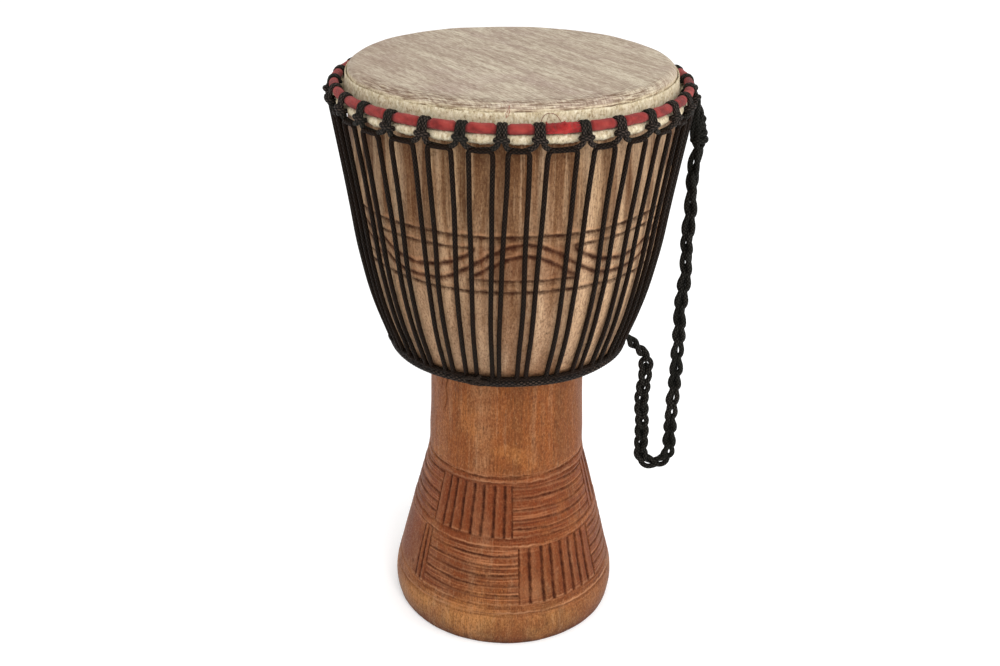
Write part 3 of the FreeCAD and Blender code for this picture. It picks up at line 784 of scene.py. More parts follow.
def unevenness(azimuth, height, seed=0.0):
    """A hand's unevenness over the surface, from 0 to 1."""
    one = np.sin(azimuth * 0.83 + height * 0.31 + seed) * np.sin(
        azimuth * 0.37 - height * 0.19 + 1.3 + seed)
    two = np.sin(azimuth * 2.3 - height * 0.9 + 2.0 * seed) * np.sin(
        azimuth * 1.1 + height * 1.7 + 0.6)
    return np.clip(0.5 + 0.45 * one + 0.25 * two, 0.0, 1.0)


class Carving:
    """Depth of cut and how burnt, rubbed and stained the wood is, over a grid of places, with
    painted highlights among the pale marks and painted shade among the dark ones.
    """

    def __init__(self, azimuth, height, radius):
        self.azimuth, self.height, self.radius = azimuth, height, radius
        self.marks = {name: np.zeros_like(height) for name in (
            "depth", "burn", "wear_and_highlight", "tint", "scratch", "grain_and_highlight")}
        self.uneven = unevenness(azimuth, height)
        self.tilt = 2.0 * np.sin(np.radians(azimuth - 5.0))

    def more(self, name, value):
        """Raise a mark to at least this value."""
        self.marks[name] = np.maximum(self.marks[name], value)

    def wave(self, cycles, phase=0.0):
        """A sine wave with this many cycles round the drum."""
        return np.sin(np.radians(self.azimuth) * cycles + phase)

    def cut(self, gap, where, half, depth, burn, lip=0.7):
        """A V cut at this distance from its line, with a painted highlight along its upper lip."""
        half = half * (0.75 + 0.55 * self.uneven)
        self.more("depth", depth * (notch(gap, half) * where) ** 0.85)
        dark = burn * (0.55 + 0.45 * self.uneven)
        self.more("burn", np.clip(dark * notch(gap, half * 1.25) ** 0.6 * where, 0.0, 1.0))
        self.more("wear_and_highlight", lip * notch(gap - half * 1.7, half * 1.2) * where)

    def ring(self, level, depth, burn, lip, seed):
        """A cut right round the foot."""
        line = level + 0.6 * (self.wave(2, seed) + 0.6 * self.wave(7, 2.0 * seed))
        line = line + 0.25 * self.wave(31, seed)
        fade = 0.8 + 0.2 * self.wave(11, 3.0 * seed)
        self.cut(self.height - line, fade, 1.3, depth, burn, lip)

    def flutes(self, inside, edges, seed):
        """Upright V cuts with rounded ribs between them."""
        slant = 0.28 * np.sin(self.height / 21.0 + seed)
        for number, line in enumerate(edges):
            gap = np.radians(self.azimuth - line - slant) * self.radius
            depth = 2.04 if number in (0, len(edges) - 1) else 1.7
            self.cut(gap, inside, 1.75, depth, 1.15, 0.20)
        for left, right in zip(edges, edges[1:]):
            part = np.clip((self.azimuth - left) / (right - left), 0.0, 1.0)
            rib = inside * ((self.azimuth >= left) & (self.azimuth <= right))
            self.more("depth", rib * (0.25 * (2.0 * part - 1.0) ** 2 + 0.9 * part))
            # Each rib gets a painted highlight on its left part and painted shade that grows
            # towards its right side.
            self.more("wear_and_highlight", rib * 0.25 * notch(part - 0.25, 0.25))
            self.more("tint", rib * (0.12 + 0.6 * part ** 2))

    def rules(self, inside, heights, seed):
        """Level cuts, with the wood between them cut back like overlapping boards."""
        slant = 1.1 * self.wave(3.0, seed)
        for number, level in enumerate(heights[1:-1]):
            line = level + slant + 0.5 * self.wave(9.0, seed + number)
            fade = 0.45 + 0.55 * self.wave(2.6, number * 1.3 + seed) ** 2
            self.cut(self.height - line, inside * fade, 1.2, 1.1, 1.0, 0.6)
        below = self.height - slant
        for upper, lower in zip(heights, heights[1:]):
            part = np.clip((upper - below) / (upper - lower), 0.0, 1.0)
            board = inside * ((below <= upper) & (below >= lower))
            self.more("depth", board * 0.9 * part)
            # A painted highlight along the top edge of each board.
            self.more("wear_and_highlight", board * 0.55 * notch(part - 0.13, 0.14))
        self.more("scratch", inside)

    def blocks(self):
        """The foot's two bands of blocks, with flutes and rules by turns."""
        azimuth = self.azimuth
        for band, (edges, front, rules, low, high) in enumerate(BANDS):
            self.azimuth = np.where(azimuth < edges[0] - 0.4, azimuth + 360.0, azimuth)
            for number, (first, last) in enumerate(zip(edges, edges[1:])):
                inside = between(self.azimuth, first, last) * between(self.height, low, high, 0.8)
                if (number + band) % 2:
                    self.rules(inside, (high, *rules, low), 0.4 * first)
                    continue
                lines = front
                if band and last > 300.0:
                    lines = PLAIN_BLOCK
                elif not first < front[0] < last:
                    count = 7 if last - first < 60.0 else 8
                    share = (np.arange(count) + 1 + 0.14 * np.sin(
                        np.arange(count) * 2.4 + first)) / (count + 1)
                    lines = first + (last - first) * share
                self.flutes(inside, (first, *lines, last), first)
        self.azimuth = azimuth

    def arcs(self):
        """The rainbow-like arcs carved round the bowl between two ring lines."""
        for peak, reach in PEAKS:
            away = (self.azimuth - peak + 180.0) % 360.0 - 180.0
            share = np.abs(away) * ARC_REACH / reach
            near = np.where(share <= ARC_REACH, 1.0, 0.0)
            for angles, heights, first, last, depth in ARCS:
                rise = np.interp(share + 0.7, angles, heights) - np.interp(
                    share - 0.7, angles, heights)
                rise /= 1.4 * reach / ARC_REACH * math.radians(1.0) * self.radius
                gap = self.height - np.interp(share, angles, heights) - self.tilt
                gap /= np.sqrt(1.0 + rise ** 2)
                where = near * between(share, first, last)
                self.cut(gap, where, 2.1, depth, 1.2, 0.8)
                self.more("tint", 0.9 * notch(gap, 5.5) * where)
            base = near * ease(-share, -20.5, -19.0)
            for level, tilt, where, half, depth, burn in (
                (467.0, 1.6, near * ease(share, 16.0, 17.5), 1.8, 1.0, 1.1),
                (434.0, 0.5, base, 1.8, 1.0, 1.1), (431.0, 0.5, base * 0.7, 1.0, 0.5, 0.55),
            ):
                self.cut(self.height - level - tilt * self.tilt, where, half, depth, burn)
            self.more("tint", 0.35 * near * ease(-share, -20.0, -14.0) * ease(
                self.height, 433.0, 436.0) * ease(-self.height, -472.0, -466.0))

    def bowl_rings(self):
        """A deep and a fine line cut right round, above and below the arcs."""
        for level, tilt, sway, cycles, where, half, depth, burn, lip in (
            (478.3, 1.0, 0.5, 9, 1.0, 2.0, 1.4, 1.2, 0.7),
            (475.0, 1.0, 0.3, 9, 0.75, 1.1, 0.5, 0.60, 0.3),
            (422.0, 0.0, 0.6, 5, 1.0, 2.0, 1.4, 1.2, 0.7),
            (425.0, 0.0, 0.6, 9, 0.6, 1.0, 0.4, 0.55, 0.3),
        ):
            line = level + tilt * self.tilt + sway * self.wave(cycles)
            self.cut(self.height - line, where, half, depth, burn, lip)

    def streaks(self):
        """The bowl's streaks, its grain with some painted highlight, from -1 for pale to 1 for
        dark.
        """
        sway = 0.9 * np.sin(self.height / 37.0) + 0.5 * np.sin(self.height / 14.0)
        grain_and_highlight = self.marks["grain_and_highlight"]
        for azimuth, half, strength in STREAKS:
            wide = half * (1.0 + 0.35 * np.sin(self.height / 23.0 + azimuth))
            away = (self.azimuth - azimuth + sway * 0.5 + 180.0) % 360.0 - 180.0
            reach = ease(self.height, 330.0, 450.0 + 30.0 * math.sin(azimuth))
            grain_and_highlight += strength * np.exp(-(away / wide) ** 2) * (0.45 + 0.55 * reach)
        self.marks["grain_and_highlight"] = np.clip(grain_and_highlight, -1.0, 1.0) * ease(self.height, 312.0, 330.0)

    def crack(self, points, half, depth):
        """A split in the wood through these azimuths and heights."""
        angles, heights = np.array(points).T
        line = np.interp(self.height, heights, angles)
        line = line + 0.35 * np.sin(self.height * 1.3) + 0.2 * np.sin(self.height * 3.1)
        where = ease(self.height, heights[0], heights[0] + 6.0) * ease(
            -self.height, -heights[-1], -heights[-1] + 4.0)
        inside = notch(np.radians(self.azimuth - line) * self.radius, half) * where
        self.more("depth", depth * inside)
        self.more("burn", 0.9 * inside ** 0.5)

    def wear(self):
        """Dirt, a knot in the wood, stain, rubbed places, painted shade on the foot's lower left
        and towards the lower band's sides, and the adze's waviness.
        """
        azimuth, height = self.azimuth, self.height
        knot = np.hypot(np.radians(azimuth + 62.0) * self.radius, height - 60.0)
        self.more("tint", 0.9 * notch(height, 16.0) * unevenness(1.7 * azimuth, height, 4.0))
        self.more("burn", 0.7 * notch(height, 9.0) * unevenness(azimuth, height, 9.0))
        self.more("burn", 0.8 * notch(knot, 3.2))
        self.more("tint", 0.8 * notch(knot, 7.0))
        self.more("depth", 0.8 * notch(knot, 2.6))
        self.marks["depth"] -= (
            0.25 * self.wave(3, height / 60.0) + 0.18 * self.wave(8, -height / 23.0)
            + 0.08 * self.wave(26, height / 9.0))
        self.more("tint", 0.5 * ease(height, 112.0, 118.0) * ease(-height, -186.0, -178.0))
        worn = np.exp(-((azimuth - 16.0) / 6.5) ** 2 - ((height - 64.0) / 14.0) ** 2)
        shaded = np.exp(-((azimuth + 70.0) / 13.0) ** 2 - ((height - 38.0) / 14.0) ** 2)
        self.marks["tint"] *= 1.0 - 0.8 * worn
        self.more("tint", 0.85 * shaded)
        self.more("wear_and_highlight", 0.5 * worn)
        # Painted shade: the lower band darkens towards its sides, away from the front.
        unshaded_front = np.exp(-((azimuth - 2.0) / 40.0) ** 2)
        self.more("tint", 0.55 * (1.0 - unshaded_front) * between(height, 49.0, 113.0, 5.0))


def carve(azimuth, height, radius):
    """All the hand-cut work on the outside, as its marks."""
    work = Carving(azimuth, height, radius)
    for number, (level, depth, burn, lip) in enumerate(FOOT_RINGS):
        work.ring(level, depth, burn, lip, 1.3 * number)
        middle = level if level > 100.0 else level + 3.0
        work.more("scratch", 0.9 * notch(height - middle, 9.0))
    work.blocks()
    work.bowl_rings()
    work.arcs()
    work.streaks()
    work.crack(((-53.0, 246.0), (-49.5, 262.0), (-51.0, 276.0), (-46.0, 296.0)), 0.8, 0.9)
    work.crack(((-57.5, 268.0), (-55.0, 280.0), (-56.0, 296.0)), 0.6, 0.6)
    work.wear()
    return work.marks


def make_shell():
    """The wooden goblet, with its carving cut into the mesh."""
    heights = np.concatenate([[0.0, 0.7, 2.0]] + [np.arange(*rows) for rows in (
        (5.0, 36.0, 4.0), (36.0, 190.0, 1.0), (190.0, 240.0, 6.0), (240.0, 300.0, 2.0),
        (300.0, 340.0, 3.0), (340.0, 416.0, 5.0), (416.0, 486.0, 0.9), (486.0, 590.0, 6.0))])
    azimuth, height = np.meshgrid(around_ring(800), heights)
    radius = wood_outside(height)
    radius = radius - 1.0 * notch(height, 1.4) + 3.4 * notch(height - 322.0, 13.0) ** 0.7
    marks = carve(azimuth, height, radius)
    depth = marks.pop("depth")
    marks["wear_and_highlight"] *= 1.0 - marks["burn"]
    outside = spot(radius - depth - narrowing(azimuth, height), azimuth, height)
    within = np.array(INSIDE)
    distance = travelled(within)
    at = np.unique(np.concatenate([distance, np.arange(0.0, distance[-1], 9.0)]))
    azimuth, radius = np.meshgrid(azimuth[0], np.interp(at, distance, within[:, 0]))
    height = np.meshgrid(azimuth[0], np.interp(at, distance, within[:, 1]))[1]
    tool = 0.7 * np.sin(np.radians(azimuth) * 17 + height / 13.0) * np.sin(height / 11.0)
    tool = np.where((height > 4.0) & (height < 590.0), tool, 0.0)
    inner = spot(radius + tool - narrowing(azimuth, height), azimuth, height)
    rows = {name: np.concatenate([mark, np.zeros_like(height)]) for name, mark in marks.items()}
    rows["inside"] = np.concatenate([
        np.zeros_like(marks["burn"]), np.where(height < 597.0, 1.0, 0.0)])
    shell = Piece("carved_goblet")
    return shell.grid(np.concatenate([outside, inner]), closed=True, **rows).build(WOOD)


shell = make_shell()
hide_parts("shell")
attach(shell, "drum")

# ---------------------------------------------------------------- skin

# How far the crown comes down when the drum is tuned: its cuff clears the skin all the way.
TUNING_TRAVEL = 6.0
CUFF_FOOT = 572.0


def make_skin():
    """The struck skin over the rim and down the side, with its soft crease."""
    flat = [(r, 600.0) for r in (0.05, 1, 2.5, 5, 9, 15, 22, 30, 40, 50, 60, 70, 80, 90, 99, 108,
                                 116, 123, 129, 134, 138, 141, 143.5, 146, 148.2, 150.5)]
    edge = [(152.6, 599.7), (154.6, 599.0), (156.3, 597.9), (157.7, 596.4), (158.6, 594.6),
            (159.1, 592.5)]
    side = [(159.2, z) for z in (591, 589.4, 587.8, 586.2, 584.6, 583, 580, 576, 571, 567)]
    under = [(158.1, 567.0), (158.1, 576.0), (158.0, 586.0), (158.0, 592.0), (157.2, 595.8),
             (155.2, 598.1), (152.0, 599.0), (146.0, 599.0), (130.0, 599.0), (90.0, 599.0),
             (45.0, 599.0), (12.0, 599.0), (0.05, 599.0)]
    profile = np.array(flat + edge + side + under)
    azimuth, radius = np.meshgrid(around_ring(480), profile[:, 0])
    height = np.meshgrid(azimuth[0], profile[:, 1])[1]
    top = np.arange(len(profile))[:, None] < len(flat) + len(edge) + len(side)
    turn = np.radians(azimuth)
    outer = ease(radius, 140.0, 158.0)
    wave = 0.25 * np.sin(5 * turn + 1.0) + 0.18 * np.sin(11 * turn) + 0.1 * np.sin(23 * turn + 2)
    front = ease(np.cos(turn), 0.2, 0.9)
    pleat = 0.20 * np.sin(radius * 2.05 + 2.0 * np.sin(3 * turn)) * outer * front
    pleat = np.where(height > 598.5, pleat, 0.0)
    x = radius * np.sin(turn)
    y = -radius * np.cos(turn)
    ripple = 0.12 * np.sin((0.84 * x + 0.54 * y) / 9.0 + np.sin(y / 31.0) * 1.5)
    lift = np.where(top, wave * outer + pleat + ripple * (1 - outer), 0.0)
    lift = np.where(height > 597.0, lift, 0.25 * lift)
    fibre = np.where(
        top & (height < 596.0), 0.16 * np.sin(61 * turn + height) * np.sin(height * 0.9), 0.0)
    skin = Piece("struck_skin")
    skin.grid(spot(radius + fibre - narrowing(azimuth, height), azimuth, height + lift))
    return skin.build(SKIN)


def make_cuff(edge):
    """The skin's cuff, standing up inside the crown with a ragged upper edge."""
    turn = around_ring(720)
    count = len(turn)
    ragged = np.convolve(np.tile(chance.normal(0.0, 1.0, count), 3), np.hanning(9), "same")
    ragged = ragged[count:2 * count] * 0.13
    top = 592.6 + ragged + 0.4 * np.sin(np.radians(turn) * 6.0)
    flute = 0.12 * np.sin(np.radians(turn) * 83.0)
    rows = []
    for inner, share in ((160.9, 0.0), (161.0, 0.4), (161.1, 0.7), (161.2, 0.9), (160.9, 1.0),
                         (160.2, 1.0), (159.8, 0.9), (159.7, 0.6), (159.7, 0.0)):
        level = CUFF_FOOT + (top - CUFF_FOOT) * share
        rows.append(spot(inner + flute - narrowing(turn, level - TUNING_TRAVEL), turn, level))
    edge.grid(np.stack(rows), closed=True, fold=0.0)


# ---------------------------------------------------------------- crown rings

# Each ring's rod: the ring's radius and its level.
FLESH_ROD = (164.9, 571.6)
CROWN_ROD = (168.5, 580.0)
BELT_ROD = (118.9, 316.6)

FRONT_HITCHES = (-62, -50, -38, -26, -14.6, -2.9, 7.7, 21.1, 32.6, 44.6, 57, 68.8)
BACK_HITCHES = 18
BACK_GAP = (360.0 + FRONT_HITCHES[0] - FRONT_HITCHES[-1]) / (BACK_HITCHES + 1)
HITCHES = np.array(
    list(FRONT_HITCHES) + [FRONT_HITCHES[-1] + BACK_GAP * n for n in range(1, BACK_HITCHES + 1)])

# The bright strip's middle and half its width, in degrees.
TIE_MIDDLE, TIE_HALF = 14.4, 4.5


def from_hitch(azimuth):
    """Degrees to the nearest hitch, how far between two hitches from 0 to 1, and which two."""
    places = np.concatenate([HITCHES - 360.0, HITCHES, HITCHES + 360.0])
    places.sort()
    after = np.clip(np.searchsorted(places, azimuth), 1, len(places) - 1)
    left, right = places[after - 1], places[after]
    return np.minimum(azimuth - left, right - azimuth), (azimuth - left) / (right - left), after


def wrapped_ring(piece, rod, shape, columns=1800, sides=28, wave=0.0):
    """A soft wrap round a ring. shape gives the section's radius and its marks."""
    azimuth, around = np.meshgrid(
        around_ring(columns), np.linspace(0.0, 2.0 * math.pi, sides, endpoint=False),
        indexing="ij")
    section, marks = shape(azimuth, around)
    radius, level = rod
    level = level + wave * np.sin(np.radians(azimuth) * 9.0)
    along = np.linspace(0.0, 2.0 * math.pi * radius * MM, columns + 1)
    points = round_rod((radius, level), section, around, azimuth)
    return piece.grid(points, along, closed=True, **marks)


def cloth_shape(azimuth, around):
    """Cloth that bulges between two hitches, with creases running into each."""
    near, part, after = from_hitch(azimuth)
    pinch = 1.0 - ease(near, 1.3, 2.6)
    bulge = np.sin(np.pi * part) ** 0.5
    creases = np.sin(azimuth * 5.2 + after * 1.9 + 1.4 * np.sin(around)) * np.exp(-near / 2.2)
    twist = np.sin(3.0 * around + azimuth * 1.15 + after)
    section = 4.15 + 0.45 * bulge + 0.75 * np.sin(around)
    section = section + (0.26 * creases + 0.15 * twist) * (1.0 - pinch)
    section = np.maximum(section * (1.0 - pinch) + 3.5 * pinch, 3.5)
    # The fold mark is painted shade: where the ropes pinch the cloth at each hitch, and in its
    # creases and twists.
    fold = 0.6 * pinch + 0.55 * np.clip(-creases, 0, 1) + 0.25 * np.clip(-twist, 0, 1)
    return section, {"fold": np.clip(fold, 0.0, 1.0)}


def tuck_shape(azimuth, around):
    """Lapped skin that swells outwards in lumps between two hitches."""
    near, part, after = from_hitch(azimuth)
    pinch = 1.0 - ease(near, 1.2, 3.0)
    bulge = np.sin(np.pi * part) ** 0.62
    lumps = (
        0.30 * np.sin(azimuth * 1.7 + after * 2.3 + around)
        + 0.22 * np.sin(azimuth * 3.9 - 2.0 * around + after)
        + 0.12 * np.sin(azimuth * 8.3 + 3.0 * around)
    )
    outward = np.clip(np.cos(around + 0.15), 0.0, 1.0)
    section = 3.1 + bulge * (1.45 + 1.75 * outward) + lumps * bulge * 0.8
    return np.maximum(section, 3.0), {"fold": 0.6 * pinch}


def belt_shape(azimuth, around):
    """Braided rope, with its picks crossing both ways."""
    turn = azimuth * math.pi / 2.0
    picks = np.abs(np.sin(turn + around * 2.5)) * np.abs(np.sin(turn - around * 2.5))
    return 4.35 + 0.45 * picks, {}


def make_tie():
    """A brighter strip knotted over the wrap, with frayed ends and a loose thread."""
    tie = Piece("cloth_strip")
    across = np.linspace(-1.0, 1.0, 61)
    gather = np.exp(-((across - 0.12) / 0.16) ** 2)
    rows = []
    for angle in np.radians(np.linspace(-40.0, 150.0, 45)):
        ragged = 0.35 * np.sin(angle * 9.0) + 0.22 * np.sin(angle * 23.0 + 1.0)
        azimuth = TIE_MIDDLE + across * TIE_HALF + ragged * across ** 3
        ridges = 0.22 * np.sin(across * 17.0 + 2.0 * np.sin(angle * 2.0)) * (1 - gather)
        ridges = ridges + 0.8 * gather + 0.25 * np.sin(across * 60.0) * gather
        section = 4.75 + 0.65 * math.sin(angle) + ridges - 0.35 * np.abs(across) ** 6
        rows.append(np.concatenate([
            round_rod(CROWN_ROD, section, angle, azimuth),
            round_rod(CROWN_ROD, 4.6, angle, azimuth)[::-1]]))
    fold = np.abs(np.sin(np.linspace(-1, 1, 2 * len(across)) * 9.0)) * 0.3
    tie.grid(np.stack(rows), np.linspace(0.0, 0.02, len(rows)), fold=fold)
    ring, ring_level = CROWN_ROD
    for number in range(34):
        side = -1.0 if number % 2 else 1.0
        start = TIE_MIDDLE + TIE_HALF * (0.12 if number < 14 else side)
        turn = math.radians(chance.uniform(-20.0, 120.0))
        out = chance.uniform(0.4, 1.9)
        path = []
        for step in np.linspace(0.0, 1.0, 5):
            section = 5.6 + out * step
            path.append(spot(
                ring + section * math.cos(turn + step * chance.uniform(-0.15, 0.15)),
                start + side * step * chance.uniform(0.1, 0.8),
                ring_level + section * math.sin(turn)))
        tie.tube(spline_points(path, 3), 0.00016, 5, fold=0.0)
    thread = spline_points([spot(r, a, z) for r, a, z in (
        (167.6, 8.2, 585.0), (165.6, 8.4, 588.0), (164.2, 9.4, 591.8), (163.8, 11.0, 593.0),
        (164.8, 12.8, 591.6), (167.2, 13.8, 587.2), (168.4, 14.2, 584.4))])
    tie.tube(thread, 0.00024, 6, fold=1.0)
    for azimuth, low, high in ((-1.4, 589.0, 596.0), (-1.0, 592.0, 598.6), (-1.9, 588.0, 593.0)):
        fibre = spline_points([spot(r, azimuth + a, low + (high - low) * h) for r, a, h in (
            (161.7, 0.0, 0.0), (161.6, 0.25, 0.3), (161.7, -0.2, 0.65), (160.9, 0.1, 1.0))])
        tie.tube(fibre, 0.00018, 5, fold=0.0)
    return tie.build(TIE_CLOTH)


skin = make_skin()
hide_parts("drum_skin")
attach(skin, "drum")

edge = wrapped_ring(Piece("lapped_skin"), FLESH_ROD, tuck_shape)
make_cuff(edge)
edge = edge.build(SKIN_EDGE)
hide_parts("skin_tuck")
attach(edge, "crown")

cloth = wrapped_ring(Piece("cloth_wrap"), CROWN_ROD, cloth_shape).build(CLOTH)
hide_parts("crown_cloth")
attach(cloth, "crown")

tie = make_tie()
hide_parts("cloth_tie")
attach(tie, "crown")

# ---------------------------------------------------------------- ropes

# The tuning rope's and the cradle rope's radii, in metres.
ROPE = 0.0023
LACING = 0.0025

# The front tuning ropes' azimuths at their tops, at the carved arcs and at the belt: the
# left and the right rope of each hitch.
FRONT_ROPES = (
    ((-66.6, -64.5, -62.5), (-61, -59.5, -57.5)),
    ((-54, -52.8, -50.8), (-49.6, -48.4, -46.2)),
    ((-42.3, -41.7, -40.3), (-37.2, -37.7, -36.4)),
    ((-29.3, -29.2, -28.9), (-24.7, -25.2, -24.8)),
    ((-17.3, -18.4, -18.5), (-12.4, -13, -13.8)),
    ((-5.4, -6.4, -6.8), (-1.1, -3.2, -3.8)),
    ((5, 4.9, 4.2), (10.2, 8.8, 8.1)),
    ((18.9, 18.6, 17.4), (24, 23.2, 22.2)),
    ((30.9, 31.2, 30), (35.9, 35.2, 34.3)),
    ((42.6, 42, 41.4), (48.3, 47, 46.6)),
    ((54.6, 54.7, 53.4), (60.3, 59.6, 59)),
    ((66.4, 66.4, 65.9), (71.4, 71.2, 70.4)),
)
TENSION_ROUTE = (
    (171.2, 553), (167.4, 530), (162.4, 499), (156.8, 462), (152.6, 430), (147.4, 404),
    (142.2, 380), (135.6, 357), (129, 339), (124.4, 326), (121.6, 318.5),
)
# The strands of the belt rope's knotted end: azimuth, radius, height.
TIE_OFF_ENDS = (
    ((-20, 126.6, 320.6), (-17.6, 127.8, 322.6), (-15.2, 128.6, 323.6), (-12.4, 128.6, 321.6),
     (-10, 127.8, 319.6), (-8, 126.6, 319.8)),
    ((-16.4, 125.8, 319), (-14.8, 128.4, 319.2), (-13.4, 129.4, 322), (-12.4, 128.4, 325.4),
     (-11.6, 125.8, 326)),
    ((-18.4, 126, 318), (-16.4, 127.4, 317.4), (-13.6, 128.6, 318.2), (-11, 127.4, 317),
     (-9.4, 126, 317.4)),
)


def rope_places():
    """Each hitch's left and right rope, as azimuths at the top, the middle and the bottom."""
    ropes = list(FRONT_ROPES)
    for number, hitch in enumerate(HITCHES[len(FRONT_HITCHES):]):
        sway = 0.5 * math.sin(number * 2.1)
        ropes.append((
            (hitch - 2.5, hitch - 2.6 + sway, hitch - 2.9 + sway),
            (hitch + 2.5, hitch + 2.1 + sway, hitch + 1.5 + sway),
        ))
    return ropes


def rope_azimuth(places, height):
    """A rope's azimuth at this height, from those at its top, middle and bottom."""
    top, middle, bottom = places
    return np.interp(height, (330.0, 405.0, 548.0), (bottom, middle, top))


def make_tension_rope():
    """The tuning rope: up from the belt, across under two hitches, and down again."""
    ropes = Piece("tuning_rope")
    places = rope_places()
    for number, (_, rising) in enumerate(places):
        falling = places[(number + 1) % len(places)][0]
        turn = 360.0 if number == len(places) - 1 else 0.0
        here, there = rising[0], falling[0] + turn
        level = 562.7 - 0.7 * (0.5 + 0.5 * math.sin(number * 1.9))
        points = []
        for radius, height in TENSION_ROUTE[::-1]:
            way = rope_azimuth(rising, height) + 0.13 * math.sin(height / 17.0 + 1.7 * number)
            points.append(spot(radius, way, height))
        for radius, azimuth, height in (
            (172.4, here + 0.05, 560.2), (172.9, here + 0.8, 563.0),
            (172.5, (2 * here + there) / 3, level), (172.5, (here + 2 * there) / 3, level),
            (172.9, there - 0.8, 563.0), (172.4, there - 0.05, 560.2),
        ):
            points.append(spot(radius, azimuth, height))
        for radius, height in TENSION_ROUTE:
            way = rope_azimuth(falling, height) + 0.13 * math.sin(height / 19.0 + 2.3 * number)
            points.append(spot(radius, way + turn, height))
        ropes.tube(route(points, 0.0022), ROPE)
    return ropes.build(TENSION)


def pressed(points):
    """Rope points with the rope pressed flat where it passes over the crown ring."""
    ring, level = CROWN_ROD
    radius = np.hypot(points[..., 0], points[..., 1]) / MM
    out, up = radius - ring, points[..., 2] / MM - level
    away = np.hypot(out, up)
    angle = np.degrees(np.arctan2(up, out))
    touch = ease(angle, -55.0, -5.0) * ease(-away, -10.5, -8.5)
    change = touch * ((3.5 + (away - 3.3) * 0.66) / away - 1.0)
    flat = points.copy()
    flat[..., :2] *= ((radius + out * change) / radius)[..., None]
    flat[..., 2] += up * change * MM
    return flat


def cradle_leg(hitch, side, rope, number, lift=0.0):
    """One side of an arch: over the ring at a hitch, down its front and in behind a rope."""
    jog = 0.4 * math.sin(number * 5.1)
    way = []
    for angle in np.radians((196.0, 165.0, 135.0, 105.0, 75.0, 45.0, 18.0)):
        way.append(round_rod(CROWN_ROD, 5.75, angle, hitch, side * 2.1 + jog * math.sin(angle)))
    for radius, height, aside in (
        (174.6, 577.0, 2.5), (175.0, 573.2, 2.5), (175.0, 569.8, 2.8), (174.0, 567.0, 4.2)
    ):
        way.append(spot(radius, hitch, height, side * aside))
    way.append(spot(172.2, rope - 0.2 * side, 564.6))
    way.append(spot(170.2, rope + side, 562.6 + lift))
    return way


def make_crown_cradle():
    """The cradle rope: over the ring at each hitch, with a bight round both strands."""
    lacing = Piece("crown_lacing")
    places = rope_places()
    for number, hitch in enumerate(HITCHES):
        other = (number + 1) % len(HITCHES)
        turn = 0.0 if other else 360.0
        here, there = places[number][1][0], places[other][0][0] + turn
        drop = 0.5 * math.sin(number * 2.7)
        arch = [
            *cradle_leg(hitch, 1.0, here, number, 0.4 * drop),
            spot(168.7, (2 * here + there) / 3, 561.7 + drop),
            spot(168.7, (here + 2 * there) / 3, 561.7 - drop),
            *cradle_leg(HITCHES[other] + turn, -1.0, there, other)[::-1],
        ]
        path = route(arch, 0.0016, 8)
        lacing.grid(pressed(tube_rings(path, LACING, first=(0.0, 0.0, 1.0))), travelled(path))
        slip = 0.7 * math.sin(number * 3.3)
        bight = [spot(radius, hitch, height, aside) for radius, height, aside in (
            (170.6, 571.6, -3.4), (173.4, 572.8 + slip, -5.1), (176.4, 573.6 + slip, -4.6),
            (177.6, 573.8 + slip, -1.9), (177.6, 573.0 - slip, 1.9), (176.4, 572.4 - slip, 4.6),
            (173.4, 571.4 - slip, 5.1), (170.6, 570.6, 3.4))]
        lacing.tube(route(bight, 0.0014, 8), LACING)
    return lacing.build(CRADLE)


def make_belt():
    """The thick braided rope round the bottom ring, with its relief in the mesh."""
    belt = wrapped_ring(Piece("braided_belt"), BELT_ROD, belt_shape, 1500, 24, 0.25)
    return belt.build(BELT)


def make_bottom_cradle():
    """The thinner strand above the belt, humped over each pair of ropes."""
    azimuth = around_ring(720)
    hump = 1.0 - ease(from_hitch(azimuth)[0], 1.5, 4.5)
    line = spot(123.0 + 1.2 * hump, azimuth, 322.2 + 0.5 * hump + 0.3 * np.sin(azimuth * 0.21))
    strand = Piece("lower_lacing").tube(line, 0.0021, closed=True, first=(0.0, 0.0, 1.0))
    return strand.build(TENSION)


def make_tie_off():
    """The belt rope's knotted end, lying along it."""
    ways = [[spot(radius, azimuth, height) for azimuth, radius, height in end]
            for end in TIE_OFF_ENDS]
    return Piece("belt_knot").strands(ways, 0.0019, 0.0012).build(BELT)


ropes = make_tension_rope()
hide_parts("tension_rope")
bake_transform(ropes)

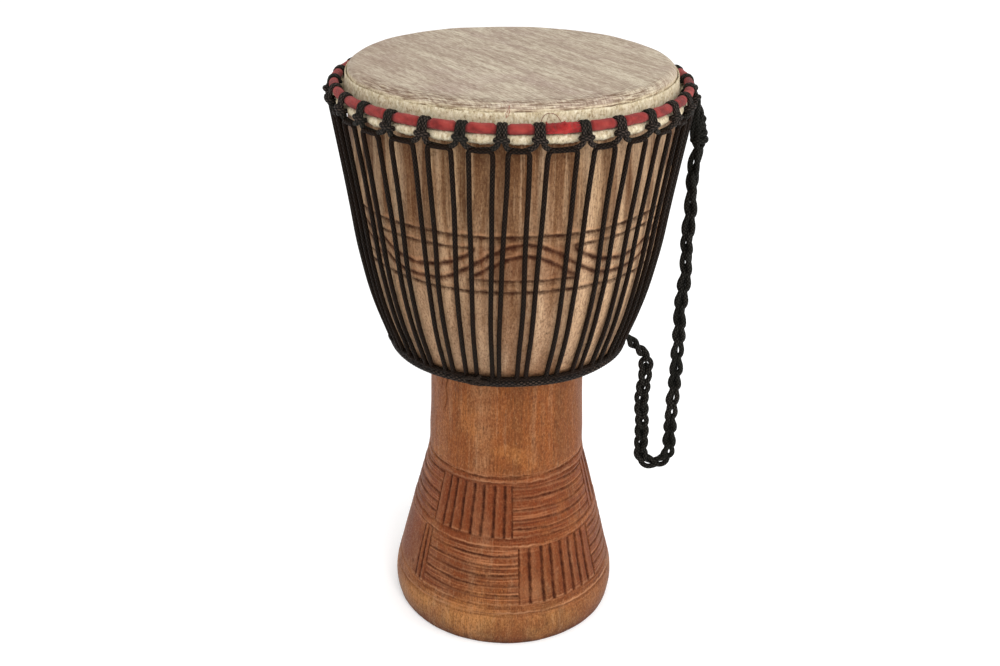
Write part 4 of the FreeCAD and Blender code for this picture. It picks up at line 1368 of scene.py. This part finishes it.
for piece, node, place, body in (
    (make_crown_cradle(), "crown_cradle", "cradle_rope", "crown"),
    (make_belt(), "belt_rope", "belt_rope", "drum"),
    (make_bottom_cradle(), "bottom_cradle", "cradle_rope", "drum"),
    (make_tie_off(), "belt_tie_off", "belt_rope", "drum"),
):
    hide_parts(node)
    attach(piece, body)

# ---------------------------------------------------------------- floor and light


def make_floor():
    """A wide pale floor."""
    mesh = bpy.data.meshes.new("floor")
    reach = 30.0
    mesh.from_pydata(
        [(-reach, -reach, 0), (reach, -reach, 0), (reach, reach, 0), (-reach, reach, 0)],
        [], [(0, 1, 2, 3)])
    g = Graph("pale_floor")
    speck = g.noise((3.0, 3.0, 3.0), 3.0)
    colour = g.mix(g.span(speck, 0.3, 0.7, 0.0, 0.4), (250, 250, 250), (246, 246, 246))
    mesh.materials.append(g.finish(
        Base_Color=colour, Roughness=0.9, Emission_Color=(1.0, 1.0, 1.0, 1.0),
        Emission_Strength=0.15, Specular_IOR_Level=0.1))
    floor = bpy.data.objects.new("floor", mesh)
    bpy.context.scene.collection.objects.link(floor)


def make_light(name, stand, aim, energy, width):
    """A square white light, standing here and aimed there."""
    data = bpy.data.lights.new(name, "AREA")
    data.energy = energy
    data.size = width
    light = bpy.data.objects.new(name, data)
    light.location = stand
    light.rotation_mode = "QUATERNION"
    way = Vector(aim) - Vector(stand)
    light.rotation_quaternion = way.to_track_quat("-Z", "Y")
    bpy.context.scene.collection.objects.link(light)


def make_world():
    """Even white light from all round."""
    world = bpy.data.worlds.new("studio")
    world.use_nodes = True
    background = world.node_tree.nodes["Background"]
    background.inputs["Color"].default_value = (1.0, 1.0, 1.0, 1.0)
    background.inputs["Strength"].default_value = 1.0
    bpy.context.scene.world = world
    bpy.context.scene.view_settings.view_transform = "Standard"


make_floor()
make_world()
make_light("key", (0.5, -1.9, 1.8), (0.0, 0.0, 0.35), 24.0, 1.0)
make_light("fill", (1.9, -0.7, 1.0), (0.0, 0.0, 0.35), 11.0, 1.0)
